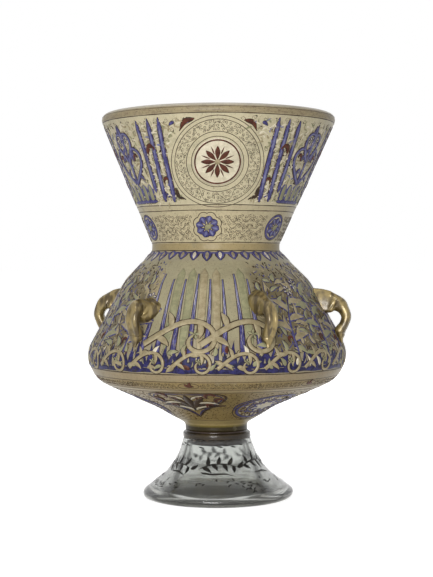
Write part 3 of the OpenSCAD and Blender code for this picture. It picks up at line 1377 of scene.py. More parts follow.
    def strew(self, x: Array, y: Array, shares: Shares, length: Span, half: Span,
              edge: Union[Pigment, None] = None) -> None:
        """Lay one small leaf at each place, its colour drawn by lot.

        Args:
            x, y: places.
            shares: each colour with its share of the lots.
            length: least and greatest length.
            half: least and greatest half width.
            edge: colour of their outline, if they have one.
        """
        lot, turn = self.rng.uniform(0.0, 1.0, len(x)), self.rng.normal(0.0, 1.0, len(x))
        size = self.rng.uniform(*length, len(x)) * self.toss(len(x))
        wide = leaf_width(1.0) * self.rng.uniform(*half, (len(x), 1))
        paths = spread(Leaf(1.0, 1.0, 0.55).path(), x, y - 0.4 * np.abs(size), turn, size)
        lift, line = (0.46, 0.5) if edge else (0.28, 0.0)
        low = 0.0
        for pigment, share in shares:
            mine = (lot >= low) & (lot < low + share)
            low += share
            self.draw(pigment, paths[mine], wide[mine], lift, line, edge or LINE)

    def shaken(self, wide: float, low: float, high: float, pitch: float, shake: float) -> tuple[Array, Array]:
        """Give the places of a grid over the board, each pushed a little out of line.

        Args:
            wide: half width of the grid.
            low, high: its lower and upper edge on the board.
            pitch: distance between places.
            shake: farthest push.

        Returns:
            The places' x and y.
        """
        x, y = np.meshgrid(np.arange(-wide, wide + 0.1, pitch), np.arange(low, high + 0.1, pitch))
        x[1::2] += pitch / 2
        push = self.rng.uniform(-shake, shake, (2, *x.shape))
        return (x + push[0]).ravel(), (y + push[1]).ravel()

    def clear(self, x: Array, y: Array, apart: float, reach: float) -> tuple[Array, Array]:
        """Pick the places that are farther than a reach from the middles of both neighbours.

        Args:
            x, y: places.
            apart: angle from the board's middle to a neighbour's.
            reach: least distance.

        Returns:
            Those places' x and y.
        """
        widen = self.surface.radius_at(self.start + y) / self.radius
        far = np.hypot((np.abs(x) - self.radius * apart) * widen, y) > reach
        return x[far], y[far]


@dataclass
class NeckEnamel(Decoration):
    """Decoration of the neck: three medallions, and between them a blue tree among lancets.

    Places in a panel are millimetres from its middle, at the height of the medallions' middle.
    A lancet is its place, its ends and its half width. A tendril is its start, heading, length,
    bend, curl and half width. A corner leaf is its angle on the ring and its scale, a comma its
    place and its scale, and a row of curls its radius and their number.
    """

    zone: str = "neck"
    low: float = 262.0
    high: float = 346.0
    seed: int = 7
    hoops: Pairs = ((346.6, 0.34), (341.2, 0.55), (265.0, 0.5))
    medallions: int = 3
    middle: float = 301.0
    rings: tuple[float, ...] = (41.4, 38.0, 27.2, 22.8)
    curl_rows: Pairs = ((29.3, 44), (32.6, 52), (35.9, 60))
    corners: Pairs = ((-41.0, 1.15), (41.0, 1.0), (-132.0, 1.0), (132.0, 1.1))
    lancets: Rows = ((46.3, -36.5, 41.0, 2.7), (36.0, -36.0, 40.5, 2.7), (25.7, -27.0, 39.5, 2.6))
    tendrils: Rows = ((1.5, -17.0, 40.0, 58.0, 0.2, 6.0, 2.3), (1.5, 4.0, 55.0, 42.0, 0.0, 5.6, 2.2))
    commas: Rows = ((30.0, 13.0, 1.1), (40.4, -16.0, 0.7))
    lobes: tuple[float, ...] = (-18.4, -9.2, 0.0, 9.2, 18.4)
    ground: Shares = ((WHITE, 0.30), (GREEN, 0.36), (GOLD, 0.24), (SKY, 0.06), (LINE, 0.04))

    def decorate(self) -> None:
        """Go round the medallions and the panels between them."""
        for turn in around(self.medallions):
            self.medallion(self.board(turn, self.middle))
            self.corner_leaves(self.board(turn, self.middle))
            self.panel(self.board(turn + math.pi / self.medallions, self.middle, 1.0))

    def medallion(self, board: Board) -> None:
        """Draw rings round a fine vine, and a red rosette on a white disc.

        Args:
            board: board that this is drawn on.
        """
        _, second, third, inner = self.rings
        for radius in self.rings:
            board.draw(LINE, ring_path(radius, 121), 0.4, 0.2)
        angle = FULL_TURN * ramp(241)
        board.draw(LINE, polar((second + third) / 2 + 3.2 * np.cos(11 * angle), angle), 0.22, 0.16)
        for reach, count in self.curl_rows:
            places = np.arange(count) + self.rng.uniform(-0.25, 0.25, count)
            board.curls(*polar(reach, FULL_TURN * places / count).T, 1.45)
        board.disc(WHITE, inner - 0.9, 0.3)
        board.draw(RED, ring_path(inner - 3.2), 1.0, 0.46)
        petals = around(8)
        petal = Leaf(12.6, 3.1, belly=0.55, count=11)
        board.leaves(RED, petal, *polar(1.6, petals).T, -petals, 0.6, line=0.3)
        sepals = petals + math.pi / 8
        board.leaves(RED, Leaf(8.0, 0.9), *polar(7.0, sepals).T, -sepals, 0.5)
        board.disc(GOLD, 2.5, 0.8)

    def corner_leaves(self, board: Board) -> None:
        """Lay a red leaf along the ring in each corner, with a blue leaf and pale ones beyond it.

        Args:
            board: board that this is drawn on.
        """
        t = ramp(21)
        for degrees, size in self.corners:
            upper = abs(degrees) < 90
            side = math.copysign(1.0, degrees)
            way = math.radians(degrees) + side * (0.16 - 0.34 * size * t)
            leaf = polar(self.rings[0] + 2.6 + 2.4 * np.sin(math.pi * t) ** 2, way)
            board.draw(RED if upper else LINE, leaf, leaf_width(2.2 * size, 21, 0.6), 0.4, 0.4)
            side = side if upper else -side
            way = math.radians(degrees) + side * np.array([0.1, 0.02, 0.26, 0.14])
            x, y = polar(self.rings[0] + np.array([11.5, 6.8, 7.5, 10.0]), way).T
            lean = -way - 0.9 * side
            board.leaves(BLUE, Leaf(6.0, 1.7, 0.4), x[0], y[0], lean[0], 0.35, side, 0.35)
            board.leaves(WHITE, Leaf(6.0, 0.8, 0.4), x[1:], y[1:], lean[1:], 0.35, side)

    def panel(self, board: Board) -> None:
        """Draw the tree, the lancets beside it, and a row of lobes along its foot.

        Args:
            board: board that this is drawn on.
        """
        board.strew(*self.free_places(board, 4.4), self.ground, (3.4, 6.8), (0.6, 1.2))
        board.curls(*self.free_places(board, 9.0), 2.2, 0.2)
        board.lancet(0.0, -20.0, 38.0, 2.4)
        board.draw(BLUE, pair(48.0 * ramp(33) - 24.0, -35.0), thread_width(2.0, 33), 0.4, 0.4)
        for x in self.lobes:
            lobe = pair(x, -34.0 + 15.0 * ramp(17))
            board.draw(GREEN, lobe, lancet_width(3.0, 17, 0.62), 0.56, 1.7, BLUE)
        for side in (-1.0, 1.0):
            for x, *shape in self.lancets:
                board.lancet(side * x, *shape)
            for number, (*way, half) in enumerate(self.tendrils):
                path = swirl_path(*way) * [side, 1.0]
                board.tendril(path, half)
                x, y = path[-1]
                if number == 1:
                    board.flower(x, y, 4.4, 6)
                else:
                    board.comma(x - 2.0 * side, y, 0.3 * side, 0.72 * side)
            for x, y, size in self.commas:
                self.between(board, (x + 0.8) * side)
                board.comma((x - 1.0) * side, y, 0.2 * side, size * side)

    def between(self, board: Board, x: float) -> None:
        """Draw two fine stems with pale leaves between two lancets.

        Args:
            board: board that they are drawn on.
            x: their place across the board.
        """
        t = ramp(33)
        stems = [pair(x + gap + 0.6 * np.sin(9 * t), -35.0 + 73.0 * t) for gap in (-1.9, 1.9)]
        board.draw(LINE, np.stack(stems), thread_width(0.2, 33), 0.2)
        y = np.linspace(-31.0, 33.0, 11)
        sides = alternate(len(y))
        board.leaves(WHITE, Leaf(5.4, 0.9, 0.5), x - 1.8 * sides, y, -0.75 * sides, 0.4, sides)

    def free_places(self, board: Board, pitch: float) -> tuple[Array, Array]:
        """Give the places of a shaken grid over a panel that lie clear of the medallions."""
        x, y = board.shaken(74.0, board.up(270.5), board.up(336.5), pitch, 1.3)
        return board.clear(x, y, math.pi / self.medallions, self.rings[0] + 2.5)


@dataclass
class ThroatEnamel(Decoration):
    """Decoration round the throat: a fine vine with flowers, and a fringe below the waist."""

    zone: str = "throat"
    low: float = 212.0
    high: float = 262.0
    seed: int = 11
    hoops: Pairs = ((260.3, 0.5), (232.6, 0.5), (225.4, 0.55))
    middle: float = 246.2
    flowers: int = 6
    first_turn: float = -7.0
    outline: float = 12.2
    fringe: float = 224.6
    lobes: int = 34

    def decorate(self) -> None:
        """Go round the flowers and the vines between them, and hang the fringe."""
        for k, turn in enumerate(around(self.flowers) + math.radians(self.first_turn)):
            self.rosette(self.board(turn, self.middle), k % 2 == 0)
            self.vine(self.board(turn + math.pi / self.flowers, self.middle, 1.0))
        self.hoop(BLUE, 223.4, 1.3, 0.22)
        for k in range(self.lobes):
            self.drop(k)

    def rosette(self, board: Board, lobed: bool) -> None:
        """Draw one flower inside a lobed or a round outline.

        Args:
            board: board that it is drawn on.
            lobed: whether the outline is lobed.
        """
        angle = FULL_TURN * ramp(97)
        reach = self.outline + (1.6 * np.abs(np.sin(4 * angle)) if lobed else 0.0)
        outline = polar(reach, angle) * [0.95, 1.02]
        board.draw(LINE, outline, 0.44, 0.2)
        if not lobed:
            board.draw(BLUE, 0.88 * outline, 1.2, 0.24)
        board.flower(0.0, 0.0, 10.6 if lobed else 9.4, 8, SKY)

    def vine(self, board: Board) -> None:
        """Draw a dense fine vine between two flowers.

        Args:
            board: board that this is drawn on.
        """
        x, y = board.shaken(21.5, -11.6, 12.4, 3.5, 0.8)
        board.curls(*board.clear(x, y, math.pi / self.flowers, self.outline + 2.6), 1.6)
        t = ramp(65)
        for level in (-5.5, 0.5, 6.5):
            stem = pair(-19.0 + 38.0 * t, level + 2.2 * np.sin(7 * math.pi * t + level))
            board.draw(LINE, stem, thread_width(0.24, 65), 0.15)

    def drop(self, number: int) -> None:
        """Hang one pale drop with a blue edge below the waist.

        Args:
            number: which drop, from 0.
        """
        board = self.board(FULL_TURN * (number + 0.3) / self.lobes, self.fringe, 1.0)
        long = 9.2 + 1.2 * math.sin(5.0 * number)
        tone = GOLD if number % 4 else WHITE
        board.leaves(BLUE, Leaf(long + 2.0, 5.0, belly=0.34), 0.0, 0.6, math.pi, 0.28, line=0.45)
        board.leaves(tone, Leaf(long - 1.0, 2.3, belly=0.45), 0.0, -0.4, math.pi, 0.42, line=0.35)
        curl = spread(spiral_path(1.7, 1.2, 13), 0.0, -4.2, 2.0, 1.0 if number % 2 else -1.0)
        board.draw(BLUE, curl, thread_width(0.32, 13), 0.56)


@dataclass
class BodyEnamel(Decoration):
    """Decoration of the shoulder and belly: blue wedges, leafy branches, and scrolls on deep blue.

    A sector lies between two handles: its middle and its width in degrees. A branch is its
    place as a share of the sector's half width, its heading in degrees, its length and its bend.
    Strewn leaves are their pitch, and their least and greatest length and half width.
    """

    zone: str = "body"
    low: float = 104.0
    high: float = 214.0
    seed: int = 19
    hoops: Pairs = ((120.4, 0.6), (113.8, 0.45), (106.6, 0.45))
    blue_hoops: Pairs = ((123.6, 3.1), (128.4, 3.1))
    sectors: Pairs = ((-8.0, 60.0), (49.5, 55.0), (107.5, 61.0), (166.0, 56.0), (222.0, 56.0), (286.0, 72.0))
    middle: float = 165.0
    wedge_pitch: float = 12.8
    branches: Rows = ((-0.46, 97.0, 60.0, -0.5), (0.26, 82.0, 66.0, 0.5), (0.84, 94.0, 52.0, -0.4))
    branch_leaves: tuple[float, ...] = (0.20, 0.36, 0.52, 0.68, 0.84)
    specks: Shares = ((LINE, 0.42), (BLUE, 0.28), (GOLD, 0.30))
    foliage: Shares = ((GREEN, 0.52), (GOLD, 0.48))
    on_blue: Shares = ((GOLD, 0.40), (GREEN, 0.44), (WHITE, 0.08), (RED, 0.08))
    strewn_leaves: tuple[tuple[float, Span, Span], ...] = (
        (11.5, (7.0, 9.5), (1.9, 2.8)),
        (9.5, (3.0, 5.0), (0.6, 1.1)),
    )
    rolls: int = 18
    ovals: int = 6

    def decorate(self) -> None:
        """Fill each sector, plain and leafy in turn, and go round the two bands below."""
        for height, half in self.blue_hoops:
            self.hoop(DEEP, height, half, 0.2)
        for number, (degrees, width) in enumerate(self.sectors):
            board = self.board(math.radians(degrees), self.middle, 1.0)
            wide = math.radians(width / 2) * board.radius
            self.tongues(board, wide)
            if number % 2:
                self.sprays(board, wide)
            else:
                self.frieze(board, wide)
            self.strewn(board, wide)
        for k in range(self.rolls):
            board = self.board(FULL_TURN * (k + 0.35) / self.rolls, 128.0, 1.0)
            self.roll(board, -14.0, -2.5, 0.92, 0.6)
        for turn in around(self.ovals):
            self.oval(self.board(turn + math.radians(-12.5), 110.3))

    def frieze(self, board: Board, wide: float) -> None:
        """Taper blue wedges up the gold between pale bars, and roll two scrolls across them.

        Args:
            board: board on the sector's middle.
            wide: half width of the sector.
        """
        count = round(2 * wide / self.wedge_pitch)
        pitch = 2 * wide / count
        low, high, t = board.up(138.0), board.up(210.0), ramp(33)
        fade = np.sqrt(np.clip((19 - np.arange(20)) / 9, 0.03, 1.0))
        half = 2.9 * (1 - 0.82 * t)
        for k in range(count):
            x = pitch * (k + 0.5) - wide
            tone = (GOLD, GREEN, None)[(2 * k) % 5 % 3]
            if tone:
                bar = pair(x - pitch / 2, low + 4.0 + (high - low - 4.0) * t)
                board.draw(tone, bar, spear_width(3.9, 33, 0.08), 0.2)
            climb = (high - low) * (0.92 - 0.10 * math.sin(2.1 * k) ** 2) * t
            wedge = pair(x + 0.5 * np.sin(5 * t + k), low + climb)
            board.draw(SKY, wedge, half, 0.28, 0.5)
            board.draw(BLUE, wedge[:20], half[:20] * fade, 0.36)
            scroll = wedge[2:26] + pair(0.8 * np.sin(26 * t[2:26]), 0.0)
            board.draw(WHITE, scroll, thread_width(0.42, 24), 0.46)
        for share in (-0.86, 0.02):
            self.roll(board, share * wide, low + 8.0, 1.55, 0.7)

    def roll(self, board: Board, x: float, y: float, size: float, lift: float) -> None:
        """Draw one rolling scroll: a gold ribbon that climbs, turns over and winds in round a flower.

        Args:
            board: board that it is drawn on.
            x, y: its start.
            size: its scale.
            lift: height off the surface.
        """
        path = swirl_path(0.0, 0.0, 38.0, 74.0, 0.75, -7.2, 97, 2.2) * size + [x, y]
        t = ramp(97)
        board.leaves_along(GOLD, path, (0.10, 0.22, 0.44), 10.0 * size, 2.3 * size, lift)
        wide = size * (2.4 - t) * np.clip(14 * (1 - t) + 0.1, 0.0, 1.0)
        board.draw(GOLD, path, wide, lift + 0.08, 0.65)
        board.leaves(GREEN, Leaf(3.3 * size, size, 0.2, 0.6), *path[-1], around(5), lift, line=0.5)

    def sprays(self, board: Board, wide: float) -> None:
        """Grow leafy branches up the plain gold, edged in blue, with flowers at their tips.

        Args:
            board: board on the sector's middle.
            wide: half width of the sector.
        """
        low = board.up(141.0)
        x, y = board.shaken(wide, low, board.up(214.0), 4.1, 2.0)
        board.strew(x, y, self.specks, (2.4, 5.4), (0.4, 0.95))
        x, y = board.shaken(wide - 3.0, low + 6.0, board.up(206.0), 10.5, 3.2)
        board.strew(x, y, self.foliage, (8.0, 12.5), (2.0, 3.2), DEEP)
        for number, (place, heading, length, bend) in enumerate(self.branches):
            path = swirl_path(place * wide, low - 4.0, heading, length, bend, 0.6 * bend)
            tone = GREEN if number == 1 else GOLD
            board.leaves_along(tone, path, self.branch_leaves, 18.5, 3.9, 0.5, 1.2, BLUE)
            board.draw(BLUE, path, leaf_width(1.5, 65, 0.2), 0.6, 0.4)
            board.flower(path[-1, 0], path[-1, 1] + 3.0, 5.6, 6)
            board.comma(path[14, 0] - 6.0, path[14, 1], 0.4, 0.7)

    def tongues(self, board: Board, wide: float) -> None:
        """Lay tongues of blue side by side above the blue band, their tips at many heights.

        Args:
            board: board on the sector's middle.
            wide: half width of the sector.
        """
        x = np.arange(-wide, wide, 3.0)[:, None]
        tops = 140.0 + 4.0 * np.sin(1.7 * np.arange(len(x))) + self.rng.uniform(-4.0, 6.0, len(x))
        low, t = board.up(126.0), ramp(15)
        paths = pair(x + 1.2 * np.sin(4 * t + x), low + (board.up(tops)[:, None] - low) * t)
        half = spear_width(2.4, 15, 0.5) * self.rng.uniform(0.75, 1.1, (len(x), 1))
        board.draw(DEEP, paths, half, 0.22)

    def strewn(self, board: Board, wide: float) -> None:
        """Strew outlined leaves over the blue, large ones with small ones between them.

        Args:
            board: board on the sector's middle.
            wide: half width of the sector.
        """
        for pitch, length, half in self.strewn_leaves:
            x, y = board.shaken(wide - 2.0, board.up(129.5), board.up(143.0), pitch, 1.4)
            board.strew(x, y, self.on_blue, length, half, LINE)

    def oval(self, board: Board) -> None:
        """Draw dark leaves in an oval on the band below the belly, and a fine vine beside it.

        Args:
            board: board that this is drawn on.
        """
        x, y = board.shaken(62.5, -2.1, 2.6, 3.4, 0.5)
        far = np.abs(x) > 10.0
        board.curls(x[far], y[far], 1.6)
        board.draw(LINE, ring_path(1.0, 49) * [9.0, 3.5], 0.4, 0.18)
        leaf = Leaf(6.0, 1.6, 0.3, count=13)
        board.leaves(RED, leaf, np.array([1.0, 1.0, -1.0]), -1.0, np.array([1.2, 0.2, -1.2]), 0.3, line=0.35)


@dataclass
class UndersideEnamel(Decoration):
    """Decoration under the belly: pointed fields with palmettes, and large roundels between them.

    The outline of a field, a cream leaf (place, lean and scale), a comma (place and scale) and
    the wing beside a roundel are on the right of their board, and are drawn on its left too.
    """

    zone: str = "underside"
    low: float = 72.0
    high: float = 106.0
    seed: int = 31
    hoops: Pairs = ((104.0, 0.5), (73.6, 0.4))
    hoop_lift: float = 0.18
    fields: int = 3
    first_turn: float = -17.0
    pointed_middle: float = 97.0
    round_middle: float = 88.5
    roundel: float = 25.0
    palmette: tuple[float, ...] = (-0.95, 0.95, -0.62, 0.62, -0.3, 0.3, 0.0)
    outline: Pairs = ((0.0, -44.0), (7.0, -34.0), (19.0, -22.0), (31.0, -7.0), (34.0, 7.0), (24.0, 14.0),
                      (0.0, 14.5))
    cream_leaves: Rows = ((1.5, -29.0, 0.35, 1.1), (9.0, -10.0, 1.1, 1.1), (4.0, -1.0, 0.2, 0.9))
    commas: Rows = ((16.0, 9.0, 1.3), (24.0, -2.0, 1.2), (14.0, -16.0, 1.0), (8.0, 4.0, 0.8))
    wing: Pairs = ((4.0, 27.0), (20.0, 21.0), (30.0, 6.0), (26.0, -10.0))
    hatching: Shares = ((BLUE, 0.45), (WHITE, 0.15), (LINE, 0.40))

    def decorate(self) -> None:
        """Go round the fields and the roundels between them."""
        for turn in around(self.fields) + math.radians(self.first_turn):
            between = turn + math.pi / self.fields
            self.stipple(self.board(between, self.pointed_middle))
            self.pointed_field(self.board(turn, self.pointed_middle, 0.6))
            self.round_field(self.board(between, self.round_middle, 0.3))

    def stipple(self, board: Board) -> None:
        """Stipple the gold round a roundel and half of the fields beside it.

        Args:
            board: board that this is drawn on.
        """
        x, y = board.shaken(80.0, -48.0, 14.0, 3.6, 1.4)
        free = np.abs(x) < self.surface.radius_at(board.start + y) * math.pi / self.fields
        board.strew(x[free], y[free], ((LINE, 1.0),), (0.9, 1.8), (0.25, 0.45))

    def pointed_field(self, board: Board) -> None:
        """Draw one pointed field: a double outline round a dark palmette with cream leaves on it.

        Args:
            board: board that this is drawn on.
        """
        for angle in self.palmette:
            leaf = Leaf(40.0 * (1.0 - 0.12 * abs(angle)), 3.6, 0.55 * math.sin(angle), 0.52, 15)
            board.leaves(LINE, leaf, 0.0, -30.0, -0.8 * angle, 0.4, line=0.9)
        for side in (-1.0, 1.0):
            edge = smooth_curve(self.outline, 49) * [side, 1.0]
            board.draw(LINE, edge, thread_width(1.4, 49), 0.26)
            board.draw(DEEP, 0.9 * edge - [0.0, 1.4], thread_width(0.9, 49), 0.24)
            for x, y, lean, size in self.cream_leaves:
                leaf = Leaf(16.0, 2.4 * size, 0.6, 0.45, 15)
                board.leaves(WHITE, leaf, x * side, y, -lean * side, 0.6, size * side, 0.8)
            for x, y, size in self.commas:
                board.comma(x * side, y, 0.3 * side, size * side)

    def round_field(self, board: Board) -> None:
        """Draw one roundel: blue rings, hatched between, round a flower with a white heart.

        Args:
            board: board that this is drawn on.
        """
        board.draw(LINE, ring_path(1.14 * self.roundel), 0.6, 0.2)
        for share, half in ((1.0, 1.5), (0.62, 0.9)):
            board.draw(BLUE, ring_path(share * self.roundel), half, 0.3, 0.5)
        for share, count in ((0.72, 34), (0.86, 40)):
            places = polar(share * self.roundel, around(count))
            board.strew(*places.T, self.hatching, (3.0, 5.0), (0.6, 1.1))
        board.flower(0.0, 0.0, 0.56 * self.roundel, 8)
        board.disc(WHITE, 0.3 * self.roundel, 0.7)
        for side in (-1.0, 1.0):
            wing = smooth_curve(self.wing, 33) * [side, 1.0]
            board.draw(BLUE, wing, thread_width(0.9, 33), 0.24, 0.6)


@dataclass
class FootMarks(Decoration):
    """What is left of the black drawing on the foot: leafy twigs, and touches below them."""

    zone: str = "foot"
    low: float = 2.0
    high: float = 54.0
    seed: int = 53
    slot: str = "clear_glass"
    twigs: int = 6
    twig_middle: float = 34.0
    touch_middle: float = 17.0
    edge: Pairs = ((-15.0, -8.0), (-5.0, -9.6), (6.0, -9.2), (15.0, -12.4))

    def decorate(self) -> None:
        """Go round the twigs."""
        for number in range(self.twigs):
            self.twig(number)

    def twig(self, number: int) -> None:
        """Draw one twig, worn lines above and below it, and the touches under it.

        Args:
            number: which twig, from 0.
        """
        turn = 60 * number
        board = self.board(math.radians(turn + 4 * math.sin(5.0 * number)), self.twig_middle, 0.5)
        stem = swirl_path(-17.0, -5.0 + 2.0 * math.sin(number), 34.0, 38.0, -1.1, 0.0, 33)
        board.draw(BLACK, stem, leaf_width(0.8, 33, 0.35), 0.2)
        at, way = stem[3::4], np.gradient(stem, axis=0)[3::4]
        side = alternate(len(at))
        angle = np.arctan2(-way[:, 0], way[:, 1]) - side * self.rng.uniform(0.55, 0.75, len(at))
        size = side * self.rng.uniform(0.8, 1.15, len(at))
        board.leaves(BLACK, Leaf(8.6, 1.9, 0.45), *at.T, angle, 0.22, size)
        x, y = self.rng.uniform(-15.0, 15.0, 3), self.rng.uniform(15.0, 18.0, 3)
        board.leaves(BLACK, Leaf(7.0, 0.6, 0.1), x, y, 1.5, 0.2)
        board.draw(BLACK, smooth_curve(self.edge, 33), leaf_width(1.0, 33, 0.3 + 0.4 * (number % 2)), 0.2)
        low = self.board(math.radians(turn + 9 * math.cos(3.0 * number)), self.touch_middle, 0.5)
        x, y, angle = (self.rng.uniform(-reach, reach, 16) for reach in (30.0, 7.0, 3.0))
        low.leaves(BLACK, Leaf(4.6, 0.7, 0.4), x, y, angle, 0.2)


@dataclass
class Vessel:
    """Neck and body, blown in one piece of honey glass."""

    corners: tuple[Corner, ...] = (
        (28.4, 68.2, 5.0),
        (57.0, 85.2, 60.0),
        (128.7, 117.0, 28.0),
        (84.3, 198.4, 40.0),
        (58.3, 225.5, 6.0),
        (58.3, 232.0, 6.0),
        (109.5, 350.0, 5.6),
    )
    wall: float = 3.0
    low: float = 62.0
    floor: float = 70.0
    lip_bore: float = 99.0
    lip_inner_round: float = 1.8
    sides: int = 216
    step: float = 2.8
    hand: HandWork = HandWork(
        ((62.0, -0.4), (85.0, -1.6), (100.0, -1.2), (117.0, 0.0), (160.0, 0.8), (200.0, 0.4),
         (228.0, -0.8), (350.0, 1.5)), 0.3)

    def __post_init__(self) -> None:
        """Measure the outside."""
        lip = (self.lip_bore, self.corners[-1][1], 0.0)
        start = (self.corners[0][0], self.low, 0.0)
        self.surface = TurnedSurface([start, *self.corners, lip], self.hand)

    def outline(self) -> Array:
        """Draw the whole section, from the axis under the stem round to the axis on the floor.

        Returns:
            Points of radius and height.
        """
        inside = inset(self.corners, self.wall)
        floor_edge = at_height(inside[0], inside[1], self.floor)
        lip_foot = at_radius(inside[5], inside[6], self.lip_bore)
        top = self.corners[-1][1]
        corners = [(0.0, self.low, 0.0), (self.corners[0][0], self.low, 0.0), *self.corners,
                   (self.lip_bore, top, self.lip_inner_round), lip_foot, *inside[5:0:-1],
                   floor_edge, (0.0, self.floor, 0.0)]
        return evened(rounded(corners), self.step)

    def build(self) -> None:
        """Turn the section and dress its two faces."""
        line = self.outline()
        data = lathe(line, self.sides, self.hand)
        top = int(np.argmax(line[:, 1] + 0.001 * line[:, 0]))
        rows = np.repeat(np.arange(len(line) - 3) >= top, self.sides)
        data.second = np.concatenate([rows, np.zeros(self.sides, bool), np.ones(self.sides, bool)])
        add_piece("blown_vessel", data, [GildedGround(), HoneyInside()], "lamp", "vessel")


@dataclass
class Foot:
    """Trumpet foot of clear glass with a folded edge, and the joint that carries the body."""

    corners: tuple[Corner, ...] = ((78.1, 0.0, 4.4), (40.0, 28.2, 55.0), (30.7, 54.5, 0.0))
    wall: float = 3.0
    bore: float = 61.2
    fold_round: float = 2.0
    stem: float = 28.4
    plug_depth: float = 6.0
    gap: float = 0.1
    collar: float = 2.6
    collar_height: float = 6.0
    vessel_low: float = 62.0
    step: float = 1.6
    collar_step: float = 0.8
    sides: int = 192
    joint_sides: int = 128
    hand: HandWork = HandWork(((0.0, 0.6), (8.0, 1.6), (30.0, 0.8), (55.0, 0.0), (62.0, -0.4)), 0.35)
    # The glass's tint below 5 mm is the thick folded edge, and partly painted shade of the floor seen through
    # it.
    glass: Finish = ClearGlass("foot_glass", (216, 218, 215), (100, 99, 90), (64, 64, 62), 5.0)
    wad_glass: Finish = JoinGlass("wad_glass", (90, 75, 68), (62, 51, 46))
    collar_glass: Finish = JoinGlass("collar_glass", (68, 57, 38), (46, 37, 27))

    def __post_init__(self) -> None:
        """Measure the outside, and the levels at which the pieces of the joint meet."""
        self.surface = TurnedSurface([(self.bore, 0.0, 0.0), *self.corners], self.hand)
        self.inside = inset(self.corners, self.wall)
        self.top = self.corners[-1][1]
        self.seat = self.top + self.gap
        self.inner_top = at_height(self.inside[1], self.inside[2], self.top)

    def trumpet(self) -> list[Corner]:
        """Give the corners of the foot's section, a ring."""
        fold = at_radius(self.inside[0], self.inside[1], self.bore)
        return [self.inner_top, *reversed(self.corners), (self.bore, 0.0, self.fold_round), fold,
                self.inside[1], self.inner_top]

    def wad(self) -> list[Corner]:
        """Give the corners of the plug that fills the foot's top, from axis to axis.

        Returns:
            Radius, height and rounding of each corner.
        """
        plug, low = self.inner_top[0] - self.gap, self.top - self.plug_depth
        high = self.vessel_low - self.gap
        return [(0.0, low, 0.0), (plug, low, self.plug_depth / 2), (plug, self.seat, 0.0),
                (self.stem, self.seat, 0.0), (self.stem, high, 0.0), (0.0, high, 0.0)]

    def trailed_ring(self) -> list[Corner]:
        """Give the corners of the ring round the joint.

        Returns:
            Radius, height and rounding of each corner.
        """
        inner, high = self.stem + self.gap, self.seat + self.collar_height
        outer = inner + self.collar
        return [(inner, self.seat, 0.0), (outer, self.seat, self.collar * 0.4),
                (outer, high, self.collar * 0.9), (inner, high, 0.0), (inner, self.seat, 0.0)]

    def build(self) -> None:
        """Turn the foot, the plug of glass in its top and the ring trailed round the joint."""
        foot = lathe(evened(rounded(self.trumpet()), self.step), self.sides, self.hand)
        add_piece("blown_foot", foot, [self.glass], "lamp", "foot")
        wad = lathe(evened(rounded(self.wad()), self.step), self.joint_sides, self.hand)
        add_piece("joint_wad", wad, [self.wad_glass], "lamp", "join_wad")
        ring = lathe(evened(rounded(self.trailed_ring()), self.collar_step), self.joint_sides, self.hand)
        add_piece("joint_collar", ring, [self.collar_glass], "lamp", "join_collar")


@dataclass(frozen=True)
class HandleShape:
    """What sets one handle apart.

    Its angle from the front in degrees, how far its root drops and is smeared aside, and the
    shares of the full width that its strap and its root have.
    """

    turn: float
    drop: float
    smear: float
    strap: float
    root: float


